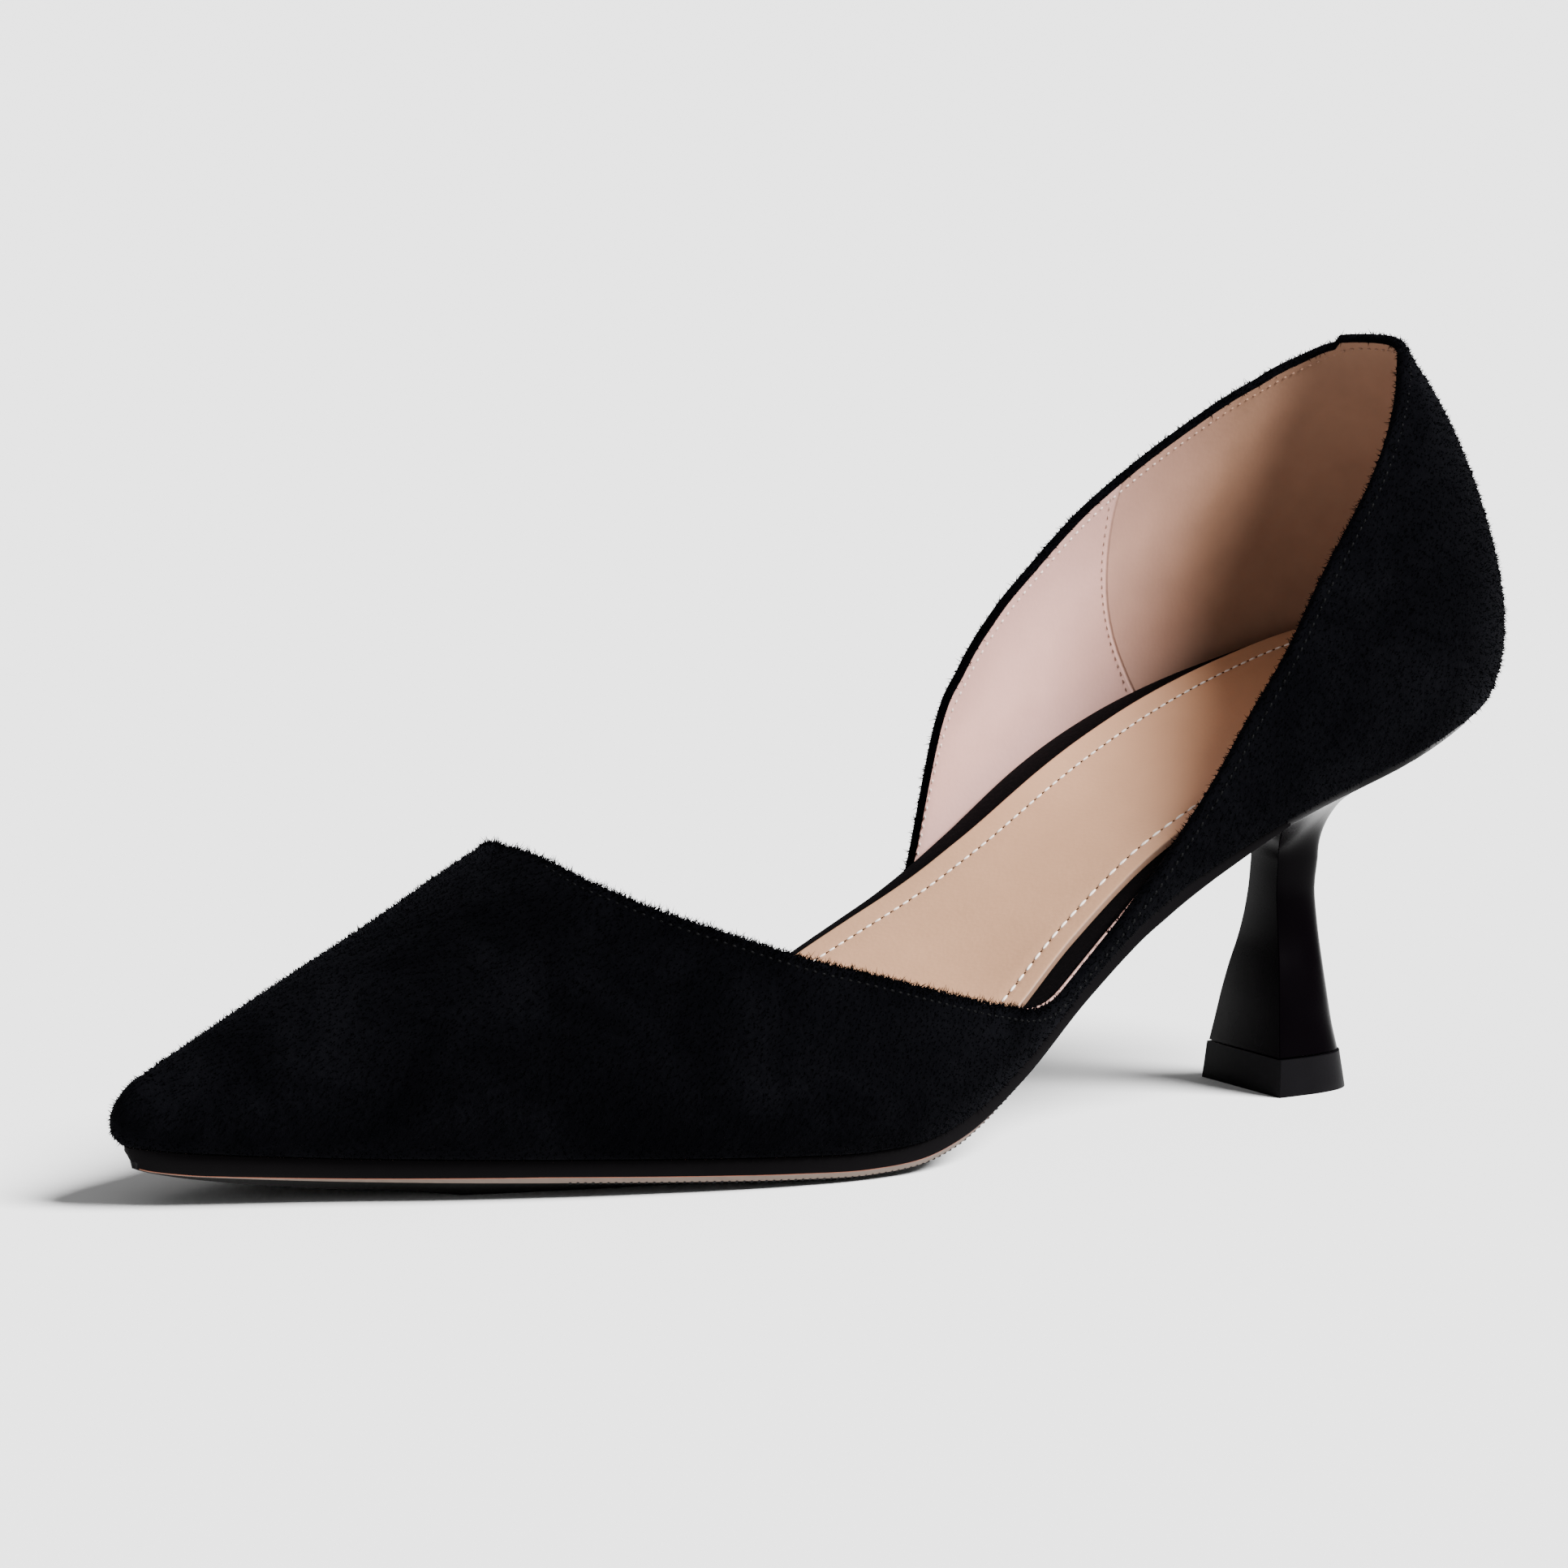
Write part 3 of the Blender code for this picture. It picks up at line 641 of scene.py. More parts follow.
def close_tree(tree, instances, skin):
    """Realizes the instances, smooths them and gives them their material."""
    real = node(tree, "GeometryNodeRealizeInstances", {"Geometry": instances}).outputs[0]
    smooth = node(tree, "GeometryNodeSetShadeSmooth", {"Geometry": real}).outputs[0]
    dressed = node(tree, "GeometryNodeSetMaterial", {"Geometry": smooth, "Material": skin}).outputs[0]
    node(tree, "NodeGroupOutput", {0: dressed})
    return tree


def row_tree(name, rings):
    """Round beads laid along a path: stitches, ribs or needle holes.

    Their length runs along the path and their height out of the surface; Shift moves them on along the path.
    """
    tree, given = new_tree(name, "Pitch", "Shift", "Length", "Width", "Height")
    curve = node(tree, "GeometryNodeMeshToCurve", {"Mesh": given["Geometry"]}).outputs["Curve"]
    spaced = node(tree, "GeometryNodeResampleCurve", {"Curve": curve, "Length": given["Pitch"]},
                  mode='LENGTH').outputs["Curve"]
    tangent = node(tree, "GeometryNodeInputTangent").outputs["Tangent"]
    out = node(tree, "GeometryNodeInputNamedAttribute", {"Name": "out"}, data_type='FLOAT_VECTOR')
    lying = node(tree, "FunctionNodeAlignRotationToVector", {"Vector": tangent}, axis='X').outputs[0]
    turn = node(tree, "FunctionNodeAlignRotationToVector", {"Rotation": lying, "Vector": out.outputs["Attribute"]},
                axis='Z', pivot_axis='X').outputs[0]
    bead = node(tree, "GeometryNodeMeshUVSphere", {"Segments": 8, "Rings": rings, "Radius": 0.5}).outputs["Mesh"]
    size = node(tree, "ShaderNodeCombineXYZ", {"X": given["Length"], "Y": given["Width"],
                                               "Z": given["Height"]}).outputs[0]
    laid = node(tree, "GeometryNodeInstanceOnPoints", {"Points": spaced, "Instance": bead, "Rotation": turn,
                                                       "Scale": size}).outputs[0]
    steps = node(tree, "ShaderNodeMath", {0: given["Shift"], 1: given["Length"]}, operation='DIVIDE').outputs[0]
    ahead = node(tree, "ShaderNodeCombineXYZ", {"X": steps}).outputs[0]
    moved = node(tree, "GeometryNodeTranslateInstances", {"Instances": laid, "Translation": ahead}).outputs[0]
    return close_tree(tree, moved, given["Material"])


def bead_tree():
    """A round bead along a path."""
    tree, given = new_tree("Bead", "Half width")
    curve = node(tree, "GeometryNodeMeshToCurve", {"Mesh": given["Geometry"]}).outputs["Curve"]
    ring = node(tree, "GeometryNodeCurvePrimitiveCircle", {"Resolution": 8, "Radius": given["Half width"]})
    tube = node(tree, "GeometryNodeCurveToMesh", {"Curve": curve, "Profile Curve": ring.outputs["Curve"],
                                                  "Fill Caps": True}).outputs["Mesh"]
    return close_tree(tree, tube, given["Material"])


NAP_CROWDING = 2.0    # power of the nap attribute that sets how densely the fibres stand
NAP_GROWTH = 0.5      # and the power that sets how long they are
FEW_LONG = 3.0        # power of an even chance, so that few fibres grow long
SHORTEST, SPREAD = 0.55, 0.85  # shortest fibre and what chance adds, as shares of the fibre length


def nap_tree():
    """Short tapering fibres scattered over the suede, leaning at random."""
    tree, given = new_tree("Suede nap", "Density", "Fibre length", "Fibre width", "Lean", Seed='NodeSocketInt')
    napped = node(tree, "GeometryNodeInputNamedAttribute", {"Name": "nap"}, data_type='FLOAT').outputs["Attribute"]
    thick = node(tree, "ShaderNodeMath", {0: napped, 1: NAP_CROWDING}, operation='POWER').outputs[0]
    thick = node(tree, "ShaderNodeMath", {0: given["Density"], 1: thick}, operation='MULTIPLY').outputs[0]
    dotted = node(tree, "GeometryNodeDistributePointsOnFaces",
                  {"Mesh": given["Geometry"], "Density": thick, "Seed": given["Seed"]}, distribute_method='RANDOM')
    back = node(tree, "ShaderNodeMath", {0: given["Lean"], 1: -1.0}, operation='MULTIPLY').outputs[0]
    low = node(tree, "ShaderNodeCombineXYZ", {"X": back, "Y": back, "Z": -math.pi}).outputs[0]
    high = node(tree, "ShaderNodeCombineXYZ", {"X": given["Lean"], "Y": given["Lean"], "Z": math.pi}).outputs[0]
    tilt = node(tree, "FunctionNodeRandomValue", {"Min": low, "Max": high, "Seed": given["Seed"]},
                data_type='FLOAT_VECTOR').outputs[0]
    tilt = node(tree, "FunctionNodeEulerToRotation", {"Euler": tilt}).outputs[0]
    turn = node(tree, "FunctionNodeRotateRotation", {"Rotation": dotted.outputs["Rotation"], "Rotate By": tilt},
                rotation_space='LOCAL').outputs[0]
    chance = node(tree, "FunctionNodeRandomValue", {"Seed": given["Seed"]}, data_type='FLOAT').outputs[1]
    rare = node(tree, "ShaderNodeMath", {0: chance, 1: FEW_LONG}, operation='POWER').outputs[0]
    vary = node(tree, "ShaderNodeMath", {0: rare, 1: SPREAD, 2: SHORTEST}, operation='MULTIPLY_ADD').outputs[0]
    tall = node(tree, "ShaderNodeMath", {0: given["Fibre length"], 1: vary}, operation='MULTIPLY').outputs[0]
    longer = node(tree, "ShaderNodeMath", {0: napped, 1: NAP_GROWTH}, operation='POWER').outputs[0]
    tall = node(tree, "ShaderNodeMath", {0: tall, 1: longer}, operation='MULTIPLY').outputs[0]
    size = node(tree, "ShaderNodeCombineXYZ", {"X": given["Fibre width"], "Y": given["Fibre width"],
                                               "Z": tall}).outputs[0]
    fibre = node(tree, "GeometryNodeMeshCone", {"Vertices": 3, "Radius Top": 0.0, "Radius Bottom": 0.5,
                                                "Depth": 1.0}, fill_type='NGON').outputs["Mesh"]
    sown = node(tree, "GeometryNodeInstanceOnPoints", {"Points": dotted.outputs["Points"], "Instance": fibre,
                                                       "Rotation": turn, "Scale": size}).outputs[0]
    return close_tree(tree, sown, given["Material"])


# The upper's wall, shared by suede, lining and stitching

Wall = namedtuple("Wall", "order points normals brinks open_top")
WALL_ROWS = 34       # rows of faces up the wall
RIM_SWELL = 0.5      # mm that the turned edge stands over the topline
CORNER = 18          # columns on each side of the throat's corner over which its V is rounded
CORNER_ROUNDS = 4    # rounds of evening out there
CORNER_FOLLOW = ((-2, 0.6), (-3, 0.25))  # rows under the edge there, and their share of the rounding
EDGE_STEP = 0.5      # degrees under the topline at which the wall's slope is taken
SAME_POINT = 0.01    # mm within which points share their normal
TAB_FOLLOW = 0.4     # share of the tab's rise in the row under its edge


def relaxed(points, rounds=6):
    """A line of points evened out between its two ends."""
    line = np.array([tuple(p) for p in points])
    for _ in range(rounds):
        line[1:-1] = 0.25 * line[:-2] + 0.5 * line[1:-1] + 0.25 * line[2:]
    return line


def over_edge(rim, i, station, side, top):
    """Direction out over the topline at the upper end of a column."""
    up = (rim[i] - wall_point(station, side, top - EDGE_STEP)) / EDGE_STEP
    along = rim[(i + 1) % len(rim)] - rim[i - 1]
    middle = place(min(max(station, HEEL_FAN), TOE_FAN), last("swing", station), last("feather", station))
    normal = along.cross(up)
    normal *= math.copysign(1.0, normal.dot(rim[i] - middle))
    brink = normal.cross(along).normalized()
    return brink * math.copysign(1.0, brink.dot(up))


def smooth_normals(grid):
    """Unit normals of a closed row of columns; points that lie together share theirs."""
    ahead = np.roll(grid, -1, 0)
    across = np.cross(ahead[:, 1:] - grid[:, :-1], ahead[:, :-1] - grid[:, 1:])
    normals = np.zeros_like(grid)
    for faces in (across, np.roll(across, 1, 0)):
        normals[:, :-1] += faces
        normals[:, 1:] += faces
    keys = np.round(grid / (SAME_POINT * MM)).astype(np.int64).reshape(-1, 3)
    shared = np.unique(keys, axis=0, return_inverse=True)[1].reshape(-1)
    total = np.zeros((shared.max() + 1, 3))
    np.add.at(total, shared, normals.reshape(-1, 3))
    total /= np.maximum(np.linalg.norm(total, axis=1), 1e-12)[:, None]
    return total[shared].reshape(grid.shape)


@lru_cache(maxsize=None)
def wall():
    """Outer face of the upper as columns of points, with normals and the direction out over the topline."""
    cut = stations()
    order = [(s, -1) for s in cut] + [(s, 1) for s in reversed(cut[1:-1])]
    tops = [90.0 if s >= THROAT else topline(side, s) for s, side in order]
    rim = [wall_point(s, side, top) for (s, side), top in zip(order, tops)]
    points, brinks = [], []
    for i, (s, side) in enumerate(order):
        wraps = [tops[i] * (j / WALL_ROWS) ** LEVEL_POWER for j in range(WALL_ROWS + 1)]
        points.append([wall_point(s, side, wrap) for wrap in wraps])
        brinks.append(tuple(over_edge(rim, i, s, side, tops[i])) if s < THROAT else (1.0, 0.0, 0.0))
    grid, brinks = np.array(points), np.array(brinks)
    # The throat's corner: the first open column of each side, and the columns behind them.
    outer = next(i for i, (s, side) in enumerate(order) if s <= THROAT)
    inner = len(order) - outer
    corner = list(range(inner - CORNER + 1, inner + 1)) + list(range(outer + 1, outer + CORNER))
    line = relaxed(grid[corner, -1], CORNER_ROUNDS)
    for row, share in CORNER_FOLLOW:
        grid[corner, row] += (line - grid[corner, -1]) * share
    grid[corner, -1] = line
    grid[outer, -1] = line[CORNER - 1]
    brinks[[outer, inner]] = brinks[outer + 1] + brinks[inner - 1]
    brinks /= np.linalg.norm(brinks, axis=1)[:, None]
    normals = smooth_normals(grid)
    outer_side = len(cut) // 3  # a column of the outer side, where outwards is towards -Y
    if normals[outer_side, 5, 1] > 0:
        normals = -normals
    tab = [s < HEEL_FAN and abs(grid[i, -1, 1] - ACROSS_SHIFT * MM) < TAB_HALF_WIDTH * MM
           for i, (s, side) in enumerate(order)]
    grid[tab, -1, 2] += TAB_RISE * MM
    grid[tab, -2, 2] += TAB_FOLLOW * TAB_RISE * MM
    open_top = [s <= THROAT for s, side in order]
    return Wall(order, grid, normals, brinks, open_top)


def inset_foot(station, side, depth):
    """Point on the feather surface this far inside the wall's outer face."""
    inset = drawn_in(station, depth)
    across = edge(inset, side, depth)
    return place(inset, across, seat(inset, across))


def lying_under(shell, skin_wall, depth, rows):
    """Columns of vertices at a depth under the wall's outer face."""
    columns = []
    for i, (station, side) in enumerate(skin_wall.order):
        column = [shell.verts.new(inset_foot(station, side, depth / MM))]
        column += [shell.verts.new(skin_wall.points[i, j] - skin_wall.normals[i, j] * depth) for j in rows]
        columns.append(column)
    return columns


FACE_NAP = 0.75      # nap on the face, against the settings
VAMP_NAP, COLLAR_NAP = 1.8, 1.0  # and along the turned edge of the vamp and the collar
VAMP_FROM = 100.0    # station where the vamp's edge begins, mm
NAP_LEAN = 52.0      # degrees that a fibre may lean
NAP_SEED = 7
EDGE_TURNS = 8       # steps round the turned edge
HIDDEN_ROWS = 3      # rows at the foot that the suede's back face leaves out


def build_upper(settings):
    """Suede outer face, turned over the topline in a round edge, with a hidden back face."""
    skin_wall = wall()
    shell = bmesh.new()
    nap = shell.verts.layers.float.new("nap")
    outer = [[shell.verts.new(point) for point in column] for column in skin_wall.points]
    loft(shell, outer + outer[:1], closed_ring=False)
    half = 0.5 * settings.wall
    turns = [math.radians(180.0 * k / EDGE_TURNS) for k in range(1, EDGE_TURNS + 1)]
    edges = []
    for i, column in enumerate(outer):
        start, normal, brink = skin_wall.points[i, -1], skin_wall.normals[i, -1], skin_wall.brinks[i]
        edges.append([column[-1]] + [shell.verts.new(start + brink * RIM_SWELL * MM * math.sin(t)
                                                     - normal * half * (1 - math.cos(t))) for t in turns])
    for column in outer:
        for vert in column:
            vert[nap] = FACE_NAP
    for (station, side), column, still_open in zip(skin_wall.order, edges, skin_wall.open_top):
        if still_open:
            for vert in column:
                vert[nap] = VAMP_NAP if station > VAMP_FROM else COLLAR_NAP
    inner = lying_under(shell, skin_wall, settings.wall - settings.lining, range(HIDDEN_ROWS, WALL_ROWS + 1))
    loft(shell, inner + inner[:1], closed_ring=False)
    count = len(outer)
    for i in range(count):
        j = (i + 1) % count
        shell.faces.new((outer[i][0], outer[j][0], inner[j][0], inner[i][0]))
        if skin_wall.open_top[i] and skin_wall.open_top[j]:
            for k in range(EDGE_TURNS):
                shell.faces.new((edges[i][k], edges[j][k], edges[j][k + 1], edges[i][k + 1]))
            shell.faces.new((edges[i][-1], edges[j][-1], inner[j][-1], inner[i][-1]))
    for i, column in enumerate(edges):
        if not skin_wall.open_top[i]:
            for vert in column[1:]:
                shell.verts.remove(vert)
    mesh = finished("upper_suede", shell, [suede_skin(settings.suede_dark, settings.suede_light)], crease=70.0)
    return add_object("upper_suede", mesh, "suede", "upper")


LINING_GAP = 0.02    # mm between the backs of the suede and the lining
LINING_DROP = 0.12   # mm that the lining ends below the turned edge
DROP_SHARE = 0.8     # and the most of the last row that this may take


def build_lining(settings):
    """Thin lining inside the suede, ending just below the turned edge."""
    skin_wall = wall()
    shell = bmesh.new()
    under_edge = shell.verts.layers.float.new("under_edge")
    rows = range(2, WALL_ROWS + 1, 2)
    back = lying_under(shell, skin_wall, settings.wall - settings.lining + LINING_GAP * MM, rows)
    face = lying_under(shell, skin_wall, settings.wall, rows)
    for i, still_open in enumerate(skin_wall.open_top):
        if still_open:
            for column in (back, face):
                down = column[i][-2].co - column[i][-1].co
                column[i][-1].co += down * min(DROP_SHARE, LINING_DROP * MM / max(down.length, 1e-9))
    # Distance under the edge, for the painted shade along the topline.
    for column in back + face:
        for vert in column:
            vert[under_edge] = (vert.co - column[-1].co).length / MM
    loft(shell, back + back[:1], closed_ring=False)
    loft(shell, face + face[:1], closed_ring=False)
    count = len(face)
    for i in range(count):
        j = (i + 1) % count
        shell.faces.new((back[i][0], back[j][0], face[j][0], face[i][0]))
        if skin_wall.open_top[i] and skin_wall.open_top[j]:
            shell.faces.new((back[i][-1], back[j][-1], face[j][-1], face[i][-1]))
    mesh = finished("upper_lining", shell, [lining_skin(settings.lining_front, settings.lining_heel)], crease=60.0)
    # Distance behind the seam: it sets the nubuck and the painted shade of the heel cup.
    seam = mesh.attributes.new("behind_seam", 'FLOAT', 'POINT')
    seam.data.foreach_set("value", [reading(LINING_SEAM, "back", v.co.z / MM) - (HEEL_BACK_X - v.co.x / MM)
                                    for v in mesh.vertices])
    return add_object("upper_lining", mesh, "lining")


STRIPS = {-1: (72.0, 126.0), 1: (99.0, 126.0)}  # stations where the lining's edge shows on a low strip, mm
STRIP_ENDS = (14.0, 6.0)  # mm over which that edge sinks away at the strip's back and front end
LINING_BEAD = 0.28        # mm, half the width of that edge
BEAD_RISE = 0.3           # mm that it stands over the topline
BEAD_SINK = 0.7           # mm that it sinks at the ends


def build_lining_edge(settings):
    """Edge of the lining, seen as a pale line along the top of each low strip."""
    skin_wall = wall()
    skin = lining_skin(settings.lining_front, settings.lining_front)
    tree = bead_tree()
    for side, name in ((-1, "lining_edge_outer"), (1, "lining_edge_inner")):
        points = []
        start, end = STRIPS[side]
        for i, (station, which) in enumerate(skin_wall.order):
            if which == side and start < station < end:
                sunk = max(0.0, 1.0 - (station - start) / STRIP_ENDS[0], 1.0 - (end - station) / STRIP_ENDS[1])
                inwards = skin_wall.normals[i, -1] * (settings.wall - LINING_BEAD * MM)
                points.append(skin_wall.points[i, -1] - inwards
                              + skin_wall.brinks[i] * (BEAD_RISE - BEAD_SINK * sunk) * MM)
        path = path_mesh(name + "_path", relaxed(points), np.tile((0.0, 0.0, 1.0), (len(points), 1)))
        add_object(name, grown(path, tree, {"Half width": LINING_BEAD * MM, "Material": skin}), "lining")


def below_edge(skin_wall, i, distance):
    """Point and normal on a column, this far down from its turned edge."""
    left = distance
    for j in range(WALL_ROWS, 0, -1):
        high, low = skin_wall.points[i, j], skin_wall.points[i, j - 1]
        length = np.linalg.norm(high - low)
        if length >= left:
            share = left / length
            normal = skin_wall.normals[i, j] * (1 - share) + skin_wall.normals[i, j - 1] * share
            return high + (low - high) * share, normal / np.linalg.norm(normal)
        left -= length
    return None


ROW_START = 1.5      # mm behind the throat where the topline's stitch rows begin
LEAST_LEAN = 0.45    # least cosine between a column and the way down from the edge; it divides the inset
LOWEST_ROW = 0.5     # share of the wall's height that a row may go down


def topline_row(skin_wall, inset, depth):
    """Path of a stitch row along the topline: the inset below the edge, at a depth under the outer face."""
    points, normals = [], []
    count = len(skin_wall.order)
    first = next(i for i in range(count) if skin_wall.order[i][0] < THROAT - ROW_START)
    for k in range(count):
        i = (first + k) % count
        if skin_wall.order[i][0] >= THROAT - ROW_START:
            continue
        column = skin_wall.points[i]
        height = np.linalg.norm(np.diff(column, axis=0), axis=1).sum()
        up = column[-1] - column[-2]
        lean = max(abs(np.dot(skin_wall.brinks[i], up / np.linalg.norm(up))), LEAST_LEAN)
        point, normal = below_edge(skin_wall, i, min(inset / lean, LOWEST_ROW * height))
        points.append(point - normal * depth)
        normals.append(normal)
    return points, normals


STITCH_RINGS, RIB_RINGS, HOLE_RINGS = 6, 5, 4  # rings of a bead's mesh
TOPLINE_STITCH = 0.62  # a topline stitch's share of its pitch
INNER_ROW = 0.75       # size of the row on the lining against the one outside
OUT_SINK, IN_SINK = 0.1, 0.05  # shares of the thread that the two rows' axes lie under their leather's face


def sew(name, slot, path, pitch, stitch, thread, skin):
    """A row of rounded stitches along a path, half sunk into the leather."""
    mesh = grown(path, row_tree("Stitch row", STITCH_RINGS),
                 {"Pitch": pitch, "Length": stitch, "Width": thread, "Height": thread, "Material": skin})
    add_object(name, mesh, slot)


def build_topline_stitches(settings, upper):
    """One row of black stitches outside the topline and one pale row inside on the lining."""
    skin_wall = wall()
    black = thread_skin("topline_thread", settings.black_thread, 0.04)
    pale = thread_skin("lining_edge_thread", settings.lining_thread, 0.3, settings.shaded_thread)
    rows = (("topline_stitches_out", "suede", settings.topline_out, OUT_SINK * settings.thread, 1.0, black, 1.0),
            ("topline_stitches_in", "lining", settings.topline_in, upper.wall - IN_SINK * settings.thread, -1.0,
             pale, INNER_ROW))
    for name, slot, inset, depth, facing, skin, share in rows:
        points, normals = topline_row(skin_wall, inset, depth)
        path = path_mesh(name + "_path", relaxed(points), [n * facing for n in normals])
        sew(name, slot, path, settings.topline_pitch, TOPLINE_STITCH * share * settings.topline_pitch,
            share * settings.thread, skin)


SEAM_STATIONS = (40.0, 66.0)  # stations between which the lining's seam is looked for, mm
SEAM_FOOT = 8          # row of the wall where its stitches begin
SEAM_BESIDE = 0.9      # mm that they lie in front of it
SEAM_STITCH = 0.55     # their length as a share of the pitch, and their thickness of the thread's
SEAM_ROUNDS = 12       # rounds of evening out


def build_lining_seam(settings, upper):
    """Stitches beside the seam between the lining's two leathers, on both quarters."""
    skin_wall = wall()
    skin = thread_skin("lining_seam_thread", settings.seam_thread)
    for k, side in enumerate((-1, 1)):
        columns = [i for i, (s, which) in enumerate(skin_wall.order)
                   if which == side and SEAM_STATIONS[0] < s < SEAM_STATIONS[1]]
        points, normals = [], []
        for j in range(SEAM_FOOT, WALL_ROWS):
            spots = []
            for i in columns:
                spot = skin_wall.points[i, j] - skin_wall.normals[i, j] * upper.wall
                gap = (HEEL_BACK_X - spot[0] / MM) - reading(LINING_SEAM, "back", spot[2] / MM) - SEAM_BESIDE
                spots.append((abs(gap), i, spot))
            gap, i, spot = min(spots, key=lambda found: found[0])
            points.append(spot)
            normals.append(-skin_wall.normals[i, j])
        path = path_mesh("lining_seam_path", relaxed(points, SEAM_ROUNDS), normals)
        sew(f"lining_seam_stitches_{k}", "lining", path, settings.topline_pitch,
            SEAM_STITCH * settings.topline_pitch, SEAM_STITCH * settings.thread, skin)


def build_nap(settings, upper_piece):
    """Loose fibres over the whole suede face; real ones are finer and are drawn thick enough to show."""
    mesh = grown(upper_piece.data.copy(), nap_tree(),
                 {"Density": settings.nap_density / MM ** 2, "Fibre length": settings.nap_length,
                  "Fibre width": settings.nap_width, "Lean": math.radians(NAP_LEAN), "Seed": NAP_SEED,
                  "Material": nap_skin(settings.nap_colour)})
    return add_object("suede_nap", mesh, "suede")


# Insole


BED_CURL = 0.5       # share of the inner rim's curl that the bed follows
CURL_POWER = 5       # how close to the inner rim the bed curls up
BED_STEPS = 8        # steps across the bed
TUCK, TUCK_SHARE = 0.6, 0.3          # the rim's foot is drawn in: most mm, most of the half width
SHOULDER, SHOULDER_SHARE = 1.0, 0.5  # and its top is rounded: most mm, most of the bare rim
RIM_SIDE = ((0.35, 0.5), (0.6, 0.7), (0.82, 0.8))  # up the rim: share of its height, share of the upper's belly
RIM_TOP = 0.8        # share of the belly at the rim's top


def board_top(station, share, low, high):
    """Height of the board's upper face; share runs from 0 (outer rim) to 1 (inner rim)."""
    outer = seat(station, low) + insole("outer_height", station)
    inner = seat(station, high) + insole("inner_height", station)
    sag = insole("sag", station) * min(1.0, (high - low) / FULL_BED)
    rising = BED_CURL * insole("curl", station) * max(0.0, share) ** CURL_POWER
    return outer + (inner - outer) * share - sag * 4.0 * share * (1.0 - share) + rising


def board_limits(station):
    """Side faces of the board, and the lines where its bare rims end."""
    limits = []
    for side in (-1, 1):
        rim = edge(station, side, WALL + FIT_GAP)
        half = abs(rim - last("swing", station))
        width = insole("outer_rim" if side < 0 else "inner_rim", station)
        limits.append((rim, rim - side * min(width, RIM_SHARE * half)))
    return limits


def board_ring(station):
    """Section of the board: up the outer side, across the bed and down the inner side."""
    (outer, bed_low), (inner, bed_high) = board_limits(station)
    full = min(1.0, (inner - outer) / FULL_BED)
    sides = []
    for side, rim, bed in ((-1, outer, bed_low), (1, inner, bed_high)):
        base = seat(station, rim)
        crest = insole("outer_height" if side < 0 else "inner_height", station)
        crest += insole("curl", station) if side > 0 else 0.0
        tuck = min(TUCK, TUCK_SHARE * abs(rim - last("swing", station)))
        shoulder = min(SHOULDER, SHOULDER_SHARE * abs(rim - bed))
        points = [(rim - side * tuck, base), (rim - side * 0.5 * tuck, base + 0.12 * crest)]
        for rise, follow in RIM_SIDE:
            points.append((rim + side * follow * full * belly(station, rise * crest), base + rise * crest))
        over = rim + side * RIM_TOP * full * belly(station, crest)
        points.append((over - side * 0.25 * shoulder, base + 0.95 * crest))
        points.append((over - side * shoulder, base + crest))
        sides.append(points)
    bed = [(bed_low + (bed_high - bed_low) * k / BED_STEPS, board_top(station, k / BED_STEPS, outer, inner))
           for k in range(BED_STEPS + 1)]
    return [place(station, across, height) for across, height in sides[0] + bed + sides[1][::-1]]


def build_board(settings):
    """Padded board wrapped in thin suede; its rim shows along the open waist."""
    shell = bmesh.new()
    rings = [[shell.verts.new(point) for point in board_ring(drawn_in(s, WALL + FIT_GAP))] for s in stations()]
    capped_loft(shell, rings)
    mesh = finished("insole_board_wrap", shell, [board_skin(settings.board_colour)], crease=75.0)
    return add_object("insole_board_wrap", mesh, "board", "insole_board")


# Across the sock: distance from its edge and drop of its top face there, mm.
SOCK_EDGE = table(
    "inside drop",
    (0.0, 0.3), (0.06, 0.14), (0.2, 0.04), (0.45, 0.0), (1.3, 0.0), (2.4, 0.0),
)


GROOVE = ((-0.5, 0.0), (-0.2, 0.07), (0.0, 0.12), (0.2, 0.07), (0.5, 0.0))  # the same across the stitches' groove
SOCK_STEPS = 13      # steps across the sock between its two grooves
NARROW = 0.48        # share of a narrow sock that each edge's profile may take
CUT_FADE = 0.7       # how much the second row of the edge still shows the cut


def sock_section(station, settings):
    """Top points of the sock across a section as (across, height)."""
    (outer, bed_low), (inner, bed_high) = board_limits(station)
    width = bed_high - bed_low
    clear = min(FIT_GAP, 0.2 * width)
    profile = [tuple(row) for row in SOCK_EDGE] + [(settings.sock_inset / MM + d, drop) for d, drop in GROOVE]
    squeeze = min(1.0, NARROW * (width - 2 * clear) / profile[-1][0])
    left = [(bed_low + clear + d * squeeze, drop) for d, drop in profile]
    right = [(bed_high - clear - d * squeeze, drop) for d, drop in reversed(profile)]
    step = (right[0][0] - left[-1][0]) / SOCK_STEPS
    middle = [(left[-1][0] + step * k, 0.0) for k in range(1, SOCK_STEPS)]
    points = []
    for across, drop in left + middle + right:
        height = board_top(station, (across - bed_low) / max(width, 0.001), outer, inner)
        points.append((across, height + FIT_GAP + settings.sock_thick / MM - drop))
    return points


def sock_station(station):
    """Station moved so that the sock lies inside the board's bare rim at both ends."""
    return drawn_in(station, WALL + FIT_GAP + insole("outer_rim", station))


